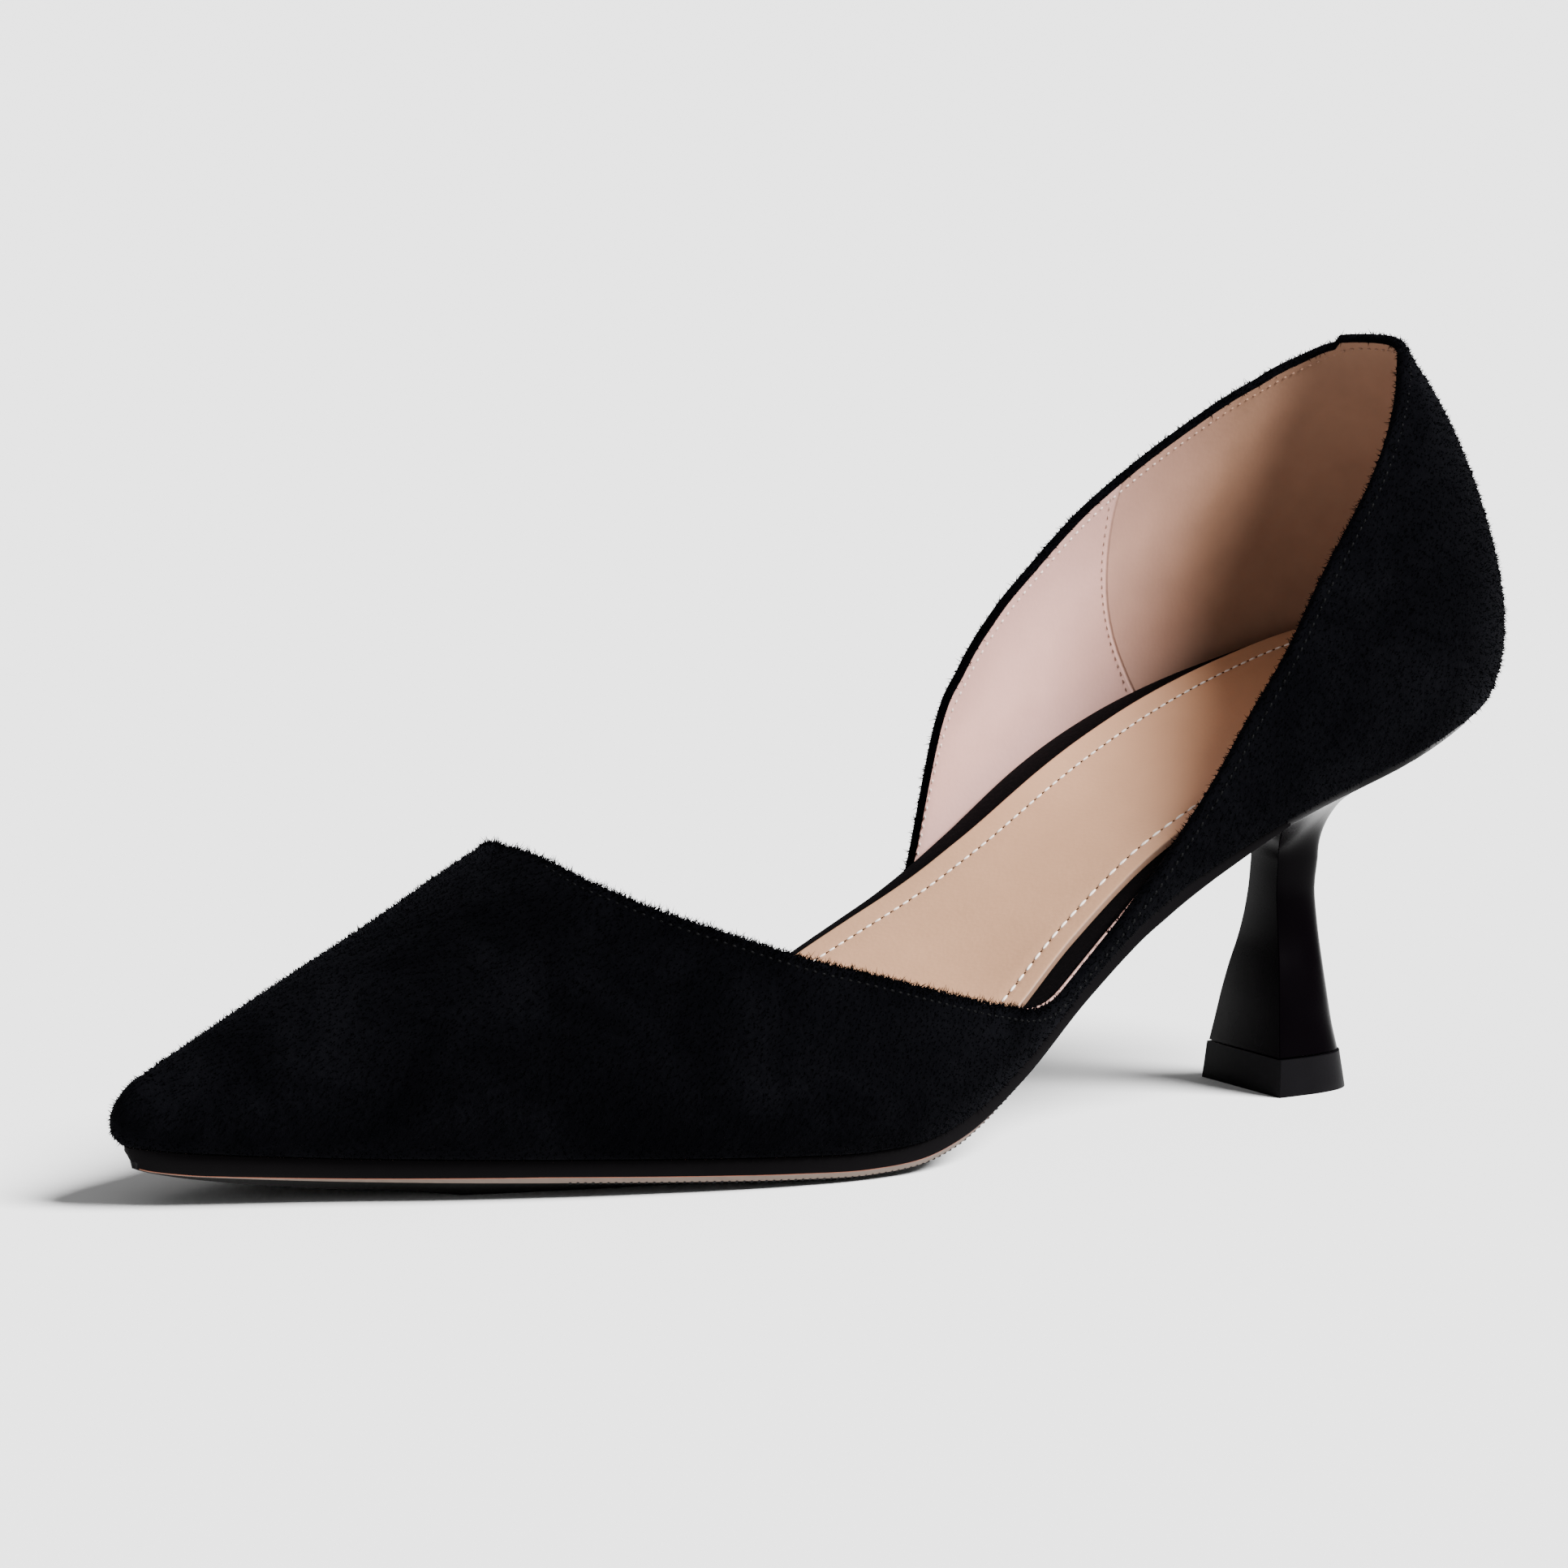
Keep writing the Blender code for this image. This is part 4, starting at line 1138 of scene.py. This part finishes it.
def build_sock(settings):
    """Tan sock lying inside the board's rim, with a groove for its stitches and a raw edge."""
    shell = bmesh.new()
    cut = shell.verts.layers.float.new("cut_edge")
    rings = []
    for station in map(sock_station, stations()):
        top = sock_section(station, settings)
        ring = [shell.verts.new(place(station, across, height)) for across, height in top]
        deep = settings.sock_thick / MM - SOCK_EDGE[0].drop
        low = [shell.verts.new(place(station, across, height - deep)) for across, height in reversed(top)]
        for vert in (ring[0], ring[-1], low[0], low[-1]):
            vert[cut] = 1.0
        ring[1][cut] = ring[-2][cut] = CUT_FADE
        rings.append(ring + low)
    capped_loft(shell, rings)
    skin = sock_skin(settings.sock_colour, settings.cut_colour)
    mesh = finished("sock", shell, [skin], crease=75.0, merge=0.002)
    return add_object("sock", mesh, "sock", "insole_sock")


SEWN = (9.0, 228.0)    # stations between which the sock is sewn, mm
SEWN_WIDTH = 2.6       # least width of a sewn sock, in stitch insets
SOCK_SINK = 0.02       # mm that the stitches' axis lies under the sock's face
SOCK_STITCH = 0.74     # a sock stitch's share of its pitch
OUTER_THREAD, INNER_THREAD = 0.85, 0.68  # thickness on the two sides against the thread's
HOLE_DEPTH = 0.35      # a needle hole's height against its width
SOCK_ROUNDS = 4        # rounds of evening out


def build_sock_stitches(settings, stitching):
    """Pale row of stitches round the sock, with a needle hole at each end of a stitch."""
    inset = settings.sock_inset / MM
    sides = {-1: [], 1: []}
    for station in map(sock_station, stations()):
        (outer, bed_low), (inner, bed_high) = board_limits(station)
        if bed_high - bed_low < SEWN_WIDTH * inset or not SEWN[0] < station < SEWN[1]:
            continue
        for side, bed in ((-1, bed_low), (1, bed_high)):
            across = bed - side * (inset + FIT_GAP)
            share = (across - bed_low) / (bed_high - bed_low)
            height = board_top(station, share, outer, inner) + FIT_GAP + settings.sock_thick / MM
            sides[side].append(place(station, across, height - SOCK_SINK))
    holes = row_tree("Needle holes", HOLE_RINGS)
    thread = thread_skin("sock_stitch_thread", stitching.pale_thread)
    # Painted shade: the dark beads stand in for the shade inside the needle holes.
    dark = board_skin(stitching.hole_shade)
    for side, name, pitch, share in ((-1, "outer", stitching.sock_pitch_outer, OUTER_THREAD),
                                     (1, "inner", stitching.sock_pitch_inner, INNER_THREAD)):
        line = relaxed(sides[side], SOCK_ROUNDS)
        flat = np.cross(np.gradient(line, axis=0), (0.0, 1.0, 0.0))
        flat *= np.sign(flat[:, 2:3])
        normals = flat / np.linalg.norm(flat, axis=1)[:, None]
        sew(f"sock_stitches_{name}", "sock", path_mesh("sock_path", line, normals), pitch, SOCK_STITCH * pitch,
            share * stitching.thread, thread)
        mesh = grown(path_mesh("sock_path", line, normals), holes,
                     {"Pitch": pitch, "Shift": 0.5 * pitch, "Length": stitching.hole, "Width": stitching.hole,
                      "Height": HOLE_DEPTH * stitching.hole, "Material": dark})
        add_object(f"sock_needle_holes_{name}", mesh, "sock")


# Sole and heel


# How far the paint runs down over the bevel: station in percent of LENGTH, share of the bevel.
PAINT = table(
    "station share",
    (36.0, 1.0), (42.0, 0.9), (50.0, 0.0), (74.0, 0.0), (88.0, 0.55), (96.0, 0.9),
)
PAINT_REACH = 0.9    # share of the bevel that full paint covers
PAINT_LEAST = 0.06   # and the least that it covers
STAIN_WIDTH = 0.1    # share of the bevel that the stained line takes

BAND_RUN = 0.8       # mm that the bare band leans in
RUN_OUT = 24.0       # mm in front of the heel over which the sole thins to the heel's rim
RUN_OUT_POWER = 0.7  # under 1, so that most of it thins close to the heel
HEEL_LAP = 0.8       # mm that the sole's end is let into the heel, so that no light passes the joint
EDGE_BULGE = 0.25    # mm that the painted edge is rounded
TOE_CURL = 1.8       # mm that the sole's lower edge draws back at the toe
CURL_BEND = 1.6      # power with which the draw grows down the edge


def sole_half(station, side):
    """Points down one side of the sole: painted edge, stained line, bare bevel, underside."""
    middle = last("swing", station)
    full = min(1.0, max(0.0, (station - BREAST) / RUN_OUT)) ** RUN_OUT_POWER
    thin = SEAT_RIM + FIT_GAP
    depth = thin + (reading(SOLE_BODY, "depth", 100.0 * station / LENGTH) - thin) * full
    rim = edge(station, side, SEAT_INSET + (SOLE_INSET - SEAT_INSET) * full)
    half = abs(rim - middle)
    top = seat(station, rim) - FIT_GAP
    thick = SEAT_RIM + (SOLE_EDGE - SEAT_RIM) * full
    bevel = middle + side * max(half - BEVEL_RUN, BEVEL_SHARE * half)
    flat = middle + side * FLAT_SHARE * half
    under = max(0.0, seat(station, flat) - depth)
    foot = max(top - thick - BEVEL_DROP * full, under)
    low = top - thick
    bulge = min(EDGE_BULGE, 0.2 * half)
    paint = min(0.98, max(0.0, reading(PAINT, "share", 100.0 * station / LENGTH)))
    line = max(PAINT_LEAST, PAINT_REACH * paint)
    corner = (rim - side * 0.2 * bulge, low)
    band = (rim - side * min(BAND_RUN, 0.3 * half), foot + 0.1 * (low - foot))
    points = [(rim - side * bulge, top), (rim, top - 0.3 * thick), corner]
    for share in (line, line + STAIN_WIDTH, 1.0):
        points.append(tuple(a + (b - a) * share for a, b in zip(corner, band)))
    points += [(0.5 * (band[0] + bevel), foot), (bevel, foot), (flat, under)]
    curl = TOE_CURL * (1.0 - closing(LENGTH - SOLE_INSET - station, TOE_ROUND))
    return [place(station - curl * min(1.0, (top - height) / SOLE_EDGE) ** CURL_BEND, across, height)
            for across, height in points]


STAINED = (96.0, 246.0)  # stations where the edge of the leather shows under the paint, mm
BARE = (88.0, 246.0)     # and where the bevel is left bare
TEETH = (100.0, 186.0)   # and where the tread's ribs reach the bevel
TEETH_DOWN = 0.38        # share of the way from the bare band to the bevel's end where they stand
RIB_SHARE = 0.62         # a rib's share of its pitch
STAIN_ROW, BARE_ROW = 3, 4       # rows of faces down the sole's side that are stained and bare
BEVEL_TOP, BEVEL_END = 5, 7      # and the points where the bevel begins and ends
TREAD_STEPS = 8                  # steps across the tread


def build_sole(settings):
    """Leather sole with a painted edge, a stained line, a bare bevel and a rubber tread with ribs."""
    shell = bmesh.new()
    cuts = [min(s, LENGTH - SOLE_INSET) for s in stations() if s > BREAST + 1.0] + [BREAST - HEEL_LAP]
    rings, bevels = [], {-1: [], 1: []}
    for station in cuts:
        halves = {side: sole_half(station, side) for side in (-1, 1)}
        start, end = halves[-1][-1], halves[1][-1]
        across = [start + (end - start) * k / TREAD_STEPS for k in range(1, TREAD_STEPS)]
        rings.append([shell.verts.new(p) for p in halves[-1] + across + halves[1][::-1]])
        for side in (-1, 1):
            bevels[side].append((halves[side][BEVEL_TOP], halves[side][BEVEL_END]))
    capped_loft(shell, rings)
    skins = [paint_skin(settings.paint_colour), stain_skin(settings.stain_colour), bare_skin(settings.bare_colour),
             tread_skin(settings.tread_colour)]
    count = len(rings[0])
    for station, low, high in zip(cuts, rings, rings[1:]):
        for i in range(count - 1):
            k = min(i, count - 2 - i)
            face = next(f for f in low[i].link_faces if low[i + 1] in f.verts and high[i] in f.verts)
            stained = k == STAIN_ROW and STAINED[0] < station < STAINED[1]
            bare = k == BARE_ROW and BARE[0] < station < BARE[1]
            face.material_index = 2 if bare else 1 if stained else 3 if k > BARE_ROW else 0
    mesh = finished("sole", shell, skins, crease=32.0)
    piece = add_object("sole", mesh, "sole", "outsole")
    tree = row_tree("Bevel ribs", RIB_RINGS)
    for side, name in ((-1, "bevel_ribs_outer"), (1, "bevel_ribs_inner")):
        pairs = [pair for pair, station in zip(bevels[side], cuts) if TEETH[0] < station < TEETH[1]]
        line = [(1 - TEETH_DOWN) * high + TEETH_DOWN * low for high, low in pairs]
        across = [low - high for high, low in pairs]
        ways = [after - before for before, after in zip(line[:1] + line[:-1], line[1:] + line[-1:])]
        normals = [way.cross(run).normalized() for way, run in zip(ways, across)]
        normals = [n if n.z < 0 else -n for n in normals]
        mesh = grown(path_mesh(name + "_path", line, normals), tree,
                     {"Pitch": settings.rib_pitch, "Length": RIB_SHARE * settings.rib_pitch,
                      "Width": settings.rib_length, "Height": settings.rib_height, "Material": skins[3]})
        add_object(name, mesh, "sole")
    return piece


HEEL_ARC = 20        # points along each half of the heel's outline
FLARE_LEVELS = 24
RING_STEPS = 3       # heel rings between two rows of the table
LIFT_STEPS = 4       # and the same in the lift
RIM_LEAN = 0.6       # mm that the top of the heel's rim stands out from SEAT_INSET
LEAN_FALL = 1.5      # and how many times that it draws in again down to the rim's foot
SHARP = 38.0         # degrees from which an edge of heel or lift is rounded
JOINT_NEAR = 0.4     # mm from the lift's top within which edges stay sharp


def heel_outline(ring):
    """Points of a heel section, from the outer corner of the breast round the back to the inner one."""
    points = []
    for i in range(2 * HEEL_ARC + 1):
        turn = math.radians(-90.0 + 90.0 * i / HEEL_ARC)
        back = ring.depth * abs(math.cos(turn)) ** (2 / HEEL_SQUARE)
        across = math.copysign(abs(math.sin(turn)) ** (2 / HEEL_SQUARE), turn) * ring.half_width
        points.append((ring.breast - back, across, ring.height))
    return points


def seat_outline(drop):
    """The heel's edge under the feather line, leaning under with the drop, ordered like heel_outline."""
    inset = SEAT_INSET - RIM_LEAN * (1.0 - LEAN_FALL * drop / SEAT_RIM)
    points = []
    for i in range(2 * HEEL_ARC + 1):
        side = -1 if i <= HEEL_ARC else 1
        turn = math.radians(90.0 * abs(i - HEEL_ARC) / HEEL_ARC)
        station = inset + (BREAST - inset) * (1 - math.cos(turn))
        across = edge(station, side, inset)
        points.append((station, across, seat(station, across) - FIT_GAP - drop))
    return points


def heel_rows(rows, steps):
    """The table's rings with smooth ones between them."""
    sheet = sorted(rows, key=lambda row: row.height)
    places = []
    for low, high in zip(sheet, sheet[1:]):
        places += [low.height + (high.height - low.height) * k / steps for k in range(steps)]
    places.append(sheet[-1].height)
    return [HeelRing(height, *(reading(sheet, column, height) for column in HeelRing._fields[1:]))
            for height in reversed(places)]


def heel_shell(outlines):
    """Closed loft of heel outlines with strips across both ends."""
    shell = bmesh.new()
    rings = [[shell.verts.new(place(*point)) for point in outline] for outline in outlines]
    loft(shell, rings)
    end = 2 * HEEL_ARC
    for ring in (rings[0], rings[-1]):
        for i in range(HEEL_ARC - 1):
            shell.faces.new((ring[i], ring[i + 1], ring[end - i - 1], ring[end - i]))
        shell.faces.new((ring[HEEL_ARC - 1], ring[HEEL_ARC], ring[HEEL_ARC + 1]))
    bmesh.ops.recalc_face_normals(shell, faces=shell.faces)
    return shell


def soften(shell, width):
    """Rounds the sharp edges of a shell, except those of a joint at the lift's top."""
    sharp = [e for e in shell.edges if len(e.link_faces) == 2 and e.calc_face_angle() > math.radians(SHARP)
             and max(abs(v.co.z / MM - LIFT_TOP) for v in e.verts) > JOINT_NEAR]
    bmesh.ops.bevel(shell, geom=sharp, offset=width, offset_type='OFFSET', segments=3, profile=0.5,
                    affect='EDGES', clamp_overlap=True)


def build_heel(settings):
    """Lacquered heel, flaring up from its neck to the seat and down to its foot, and the lift under it."""
    rows = heel_rows(HEEL_RINGS, RING_STEPS)
    neck = heel_outline(rows[0])
    rim = seat_outline(SEAT_RIM)
    outlines = [seat_outline(0.0)]
    for level in range(FLARE_LEVELS, 0, -1):
        rise = level / FLARE_LEVELS
        grow = (rise ** FLARE_POWER, rise ** FLARE_POWER, rise)
        outlines.append([tuple(a + (b - a) * g for a, b, g in zip(low, high, grow))
                         for low, high in zip(neck, rim)])
    outlines += [heel_outline(row) for row in rows]
    shell = heel_shell(outlines)
    soften(shell, settings.heel_bevel)
    mesh = finished("heel_lacquered", shell, [lacquer_skin(settings.lacquer_colour)], crease=50.0)
    add_object("heel_lacquered", mesh, "heel", "heel")
    shell = heel_shell([heel_outline(row) for row in heel_rows(LIFT_RINGS, LIFT_STEPS)])
    soften(shell, settings.lift_bevel)
    mesh = finished("lift", shell, [lift_skin(settings.lift_colour)], crease=50.0)
    return add_object("lift", mesh, "lift", "heel_lift")


# Settings


def in_mm(name, description, size):
    """A setting for a length given in millimetres."""
    return FloatProperty(name=name, description=description, default=size * MM, unit='LENGTH', precision=5)


def in_hex(name, description, code):
    """A setting for a colour given as sRGB hex."""
    return FloatVectorProperty(name=name, description=description, default=linear(code), subtype='COLOR', size=3,
                               min=0.0, max=1.0)


class PumpUpperSettings(bpy.types.PropertyGroup):
    wall: in_mm("Wall", "Suede and lining together", WALL)
    lining: in_mm("Lining", "Thickness of the lining", 0.45)
    nap_length: in_mm("Nap length", "Length of the loose fibres", 0.95)
    nap_width: in_mm("Nap width", "Drawn width of a fibre", 0.2)
    nap_density: FloatProperty(name="Nap density", description="Fibres per square millimetre", default=3.2)
    suede_dark: in_hex("Suede shade", "Nap brushed away from the light", "#010102")
    suede_light: in_hex("Suede highlight", "Nap brushed towards the light", "#050507")
    nap_colour: in_hex("Fibre", "Loose fibres", "#060608")
    lining_front: in_hex("Lining front", "Smooth lining in front of the seam", "#cfa196")
    # Partly the nubuck's own brown and partly painted shade of the heel cup.
    lining_heel: in_hex("Lining heel", "Nubuck lining behind the seam", "#8f6a54")


class PumpStitchSettings(bpy.types.PropertyGroup):
    thread: in_mm("Thread", "Width of the sewing thread", 0.5)
    topline_pitch: in_mm("Topline pitch", "Stitch spacing along the topline", 1.5)
    topline_out: in_mm("Outside inset", "Outer stitch row below the edge", 1.3)
    topline_in: in_mm("Inside inset", "Inner stitch row below the edge", 1.3)
    sock_pitch_outer: in_mm("Outer sock pitch", "Stitch spacing along the sock's outer edge", 2.5)
    sock_pitch_inner: in_mm("Inner sock pitch", "Stitch spacing along the sock's inner edge", 1.8)
    hole: in_mm("Needle hole", "Width of a needle hole", 0.4)
    # Painted shade: the dark beads stand in for the shade inside the needle holes.
    hole_shade: in_hex("Hole", "Inside of a needle hole", "#2a1a12")
    black_thread: in_hex("Black thread", "Stitches in the suede", "#040405")
    pale_thread: in_hex("Pale thread", "Stitches on the sock", "#efe6de")
    lining_thread: in_hex("Lining thread", "Stitches along the lining's edge", "#dcc7be")
    # Painted shade: the lining's edge thread darkens to this colour in the heel cup.
    shaded_thread: in_hex("Shaded thread", "The same stitches behind the lining's seam", "#7c5c49")
    seam_thread: in_hex("Seam thread", "Stitches in the lining's seam", "#a98a7c")


class PumpInsoleSettings(bpy.types.PropertyGroup):
    sock_thick: in_mm("Sock", "Thickness of the sock", 1.2)
    sock_inset: in_mm("Stitch inset", "Stitch row inside the sock's edge", 3.8)
    sock_colour: in_hex("Sock", "Face of the sock", "#b48a6b")
    cut_colour: in_hex("Cut edge", "Raw edge of the sock", "#6f5443")
    # Deepened beyond the wrap's own black as painted shade under the strip.
    board_colour: in_hex("Wrap", "Suede round the board", "#040304")


class PumpSoleSettings(bpy.types.PropertyGroup):
    rib_pitch: in_mm("Rib pitch", "Spacing of the ribs on the bevel", 1.2)
    rib_length: in_mm("Rib length", "Ribs across the bevel", 1.8)
    rib_height: in_mm("Rib height", "Ribs through the bevel", 0.5)
    paint_colour: in_hex("Edge paint", "Painted sole edge", "#040304")
    stain_colour: in_hex("Stained line", "Line under the paint", "#8a4a2e")
    # Darker than the bare leather's own tan: partly painted shade under the sole's edge.
    bare_colour: in_hex("Bare edge", "Band of leather under the paint", "#5f5046")
    # Black partly as painted shade: it darkens the gap under the sole's edge and the ribs along the bevel.
    tread_colour: in_hex("Tread", "Rubber under the sole", "#0b0a0a")


class PumpHeelSettings(bpy.types.PropertyGroup):
    heel_bevel: in_mm("Heel edge", "Rounding of the heel's edges", 0.45)
    lift_bevel: in_mm("Lift edge", "Rounding of the lift's edges", 0.35)
    lacquer_colour: in_hex("Lacquer", "Heel", "#020102")
    lift_colour: in_hex("Lift", "Top piece", "#060507")


class PumpStageSettings(bpy.types.PropertyGroup):
    floor_colour: in_hex("Floor", "Paper sweep", "#f4f4f4")
    key_strength: FloatProperty(name="Key", description="Strength of the large front light", default=14.5)
    key_softness: FloatProperty(name="Softness", description="Apparent size of the key light",
                                default=math.radians(29.0), subtype='ANGLE')
    world_strength: FloatProperty(name="Room", description="Light from all round", default=0.3)
    azimuth: FloatProperty(name="Azimuth", description="Camera round the shoe", default=math.radians(-32.0),
                           subtype='ANGLE')
    elevation: FloatProperty(name="Elevation", description="Camera above the floor", default=math.radians(9.21),
                             subtype='ANGLE')
    distance: FloatProperty(name="Distance", description="Camera to shoe", default=2.2, unit='LENGTH')


# The photograph's frame: pixels across, pixels per millimetre, and the point that lies on the optical axis.
IMAGE = 1932
PIXELS_PER_MM = 7.798
AIM = Vector((-2.59, 1.90, 57.93)) * MM
AIM_PIXEL = (1000, 957)
KEY_FROM = Vector((0.62, -0.70, 0.95))  # towards the key light: right of the camera and high
FLOOR_HALF = 6.0                        # metres
SENSOR = 36.0                           # mm, width of the camera's sensor


def build_stage(settings):
    """Pale paper floor, soft lights and the camera."""
    # Matt white paper sweep: gives the eye a soft contact shadow and nothing else.
    paper = surface("paper_sweep", Roughness=0.9, Base_Color=(*settings.floor_colour, 1.0))[0]
    mesh = bpy.data.meshes.new("floor")
    corners = ((-1, -1), (1, -1), (1, 1), (-1, 1))
    mesh.from_pydata([(x * FLOOR_HALF, y * FLOOR_HALF, 0) for x, y in corners], [], [(0, 1, 2, 3)])
    mesh.materials.append(paper)
    floor = bpy.data.objects.new("floor", mesh)
    bpy.context.scene.collection.objects.link(floor)
    world = bpy.data.worlds.new("studio")
    world.use_nodes = True
    bpy.context.scene.world = world
    sky = world.node_tree.nodes["Background"]
    sky.inputs["Color"].default_value = (1.0, 1.0, 1.0, 1.0)
    sky.inputs["Strength"].default_value = settings.world_strength
    lamp = bpy.data.lights.new("key", 'SUN')
    lamp.energy = settings.key_strength
    lamp.angle = settings.key_softness
    key = bpy.data.objects.new("key", lamp)
    key.location = KEY_FROM
    key.rotation_euler = (-KEY_FROM).to_track_quat('-Z', 'Y').to_euler()
    bpy.context.scene.collection.objects.link(key)
    lens = bpy.data.cameras.new("camera")
    lens.sensor_width = SENSOR
    lens.lens = SENSOR * PIXELS_PER_MM * settings.distance / MM / IMAGE
    lens.shift_x = (IMAGE / 2 - AIM_PIXEL[0]) / IMAGE
    lens.shift_y = (AIM_PIXEL[1] - IMAGE / 2) / IMAGE
    lens.clip_start, lens.clip_end = 0.05, 50.0
    camera = bpy.data.objects.new("camera", lens)
    a, e = settings.azimuth, settings.elevation
    back = Vector((math.sin(a) * math.cos(e), -math.cos(a) * math.cos(e), math.sin(e)))
    camera.location = AIM + back * settings.distance
    camera.rotation_euler = (-back).to_track_quat('-Z', 'Y').to_euler()
    bpy.context.scene.collection.objects.link(camera)
    bpy.context.scene.camera = camera


class PUMP_OT_upper(bpy.types.Operator):
    """Make the suede upper and its nap"""
    bl_idname = "pump.upper"
    bl_label = "Suede upper"

    def execute(self, context):
        settings = context.scene.pump_upper
        build_nap(settings, build_upper(settings))
        return {'FINISHED'}


class PUMP_OT_lining(bpy.types.Operator):
    """Make the lining with its seam"""
    bl_idname = "pump.lining"
    bl_label = "Lining"

    def execute(self, context):
        build_lining(context.scene.pump_upper)
        build_lining_edge(context.scene.pump_upper)
        build_lining_seam(context.scene.pump_stitch, context.scene.pump_upper)
        return {'FINISHED'}


class PUMP_OT_topline_stitches(bpy.types.Operator):
    """Sew the topline outside and inside"""
    bl_idname = "pump.topline_stitches"
    bl_label = "Topline stitches"

    def execute(self, context):
        build_topline_stitches(context.scene.pump_stitch, context.scene.pump_upper)
        return {'FINISHED'}


class PUMP_OT_insole(bpy.types.Operator):
    """Make the wrapped board, the sock and its stitches"""
    bl_idname = "pump.insole"
    bl_label = "Insole"

    def execute(self, context):
        settings = context.scene.pump_insole
        build_board(settings)
        build_sock(settings)
        build_sock_stitches(settings, context.scene.pump_stitch)
        return {'FINISHED'}


class PUMP_OT_sole(bpy.types.Operator):
    """Make the sole with its painted edge and ribbed bevel"""
    bl_idname = "pump.sole"
    bl_label = "Sole"

    def execute(self, context):
        build_sole(context.scene.pump_sole)
        return {'FINISHED'}


class PUMP_OT_heel(bpy.types.Operator):
    """Make the lacquered heel and its lift"""
    bl_idname = "pump.heel"
    bl_label = "Heel"

    def execute(self, context):
        build_heel(context.scene.pump_heel)
        return {'FINISHED'}


class PUMP_OT_stage(bpy.types.Operator):
    """Set the floor, lights and camera"""
    bl_idname = "pump.stage"
    bl_label = "Stage"

    def execute(self, context):
        build_stage(context.scene.pump_stage)
        return {'FINISHED'}


SETTINGS = {"pump_upper": PumpUpperSettings, "pump_stitch": PumpStitchSettings, "pump_insole": PumpInsoleSettings,
            "pump_sole": PumpSoleSettings, "pump_heel": PumpHeelSettings, "pump_stage": PumpStageSettings}
OPERATORS = (PUMP_OT_upper, PUMP_OT_lining, PUMP_OT_topline_stitches, PUMP_OT_insole, PUMP_OT_sole, PUMP_OT_heel,
             PUMP_OT_stage)


class PUMP_PT_panel(bpy.types.Panel):
    """Lists the pieces of the pump with their sizes and colours"""
    bl_label = "Pump"
    bl_idname = "PUMP_PT_panel"
    bl_space_type = 'VIEW_3D'
    bl_region_type = 'UI'
    bl_category = "Pump"

    def draw(self, context):
        for operator in OPERATORS:
            self.layout.operator(operator.bl_idname)
        for key, group in SETTINGS.items():
            box = self.layout.box()
            for name in group.__annotations__:
                box.prop(getattr(context.scene, key), name)


def register():
    """Adds the settings, the operators and the panel."""
    for key, group in SETTINGS.items():
        bpy.utils.register_class(group)
        setattr(bpy.types.Scene, key, PointerProperty(type=group))
    for operator in OPERATORS:
        bpy.utils.register_class(operator)
    bpy.utils.register_class(PUMP_PT_panel)


def unregister():
    """Takes them out again."""
    bpy.utils.unregister_class(PUMP_PT_panel)
    for operator in reversed(OPERATORS):
        bpy.utils.unregister_class(operator)
    for key, group in SETTINGS.items():
        delattr(bpy.types.Scene, key)
        bpy.utils.unregister_class(group)


def main():
    """Makes every piece."""
    register()
    bpy.ops.pump.upper()
    bpy.ops.pump.lining()
    bpy.ops.pump.topline_stitches()
    bpy.ops.pump.insole()
    bpy.ops.pump.sole()
    bpy.ops.pump.heel()
    bpy.ops.pump.stage()


if __name__ == "__main__":
    main()
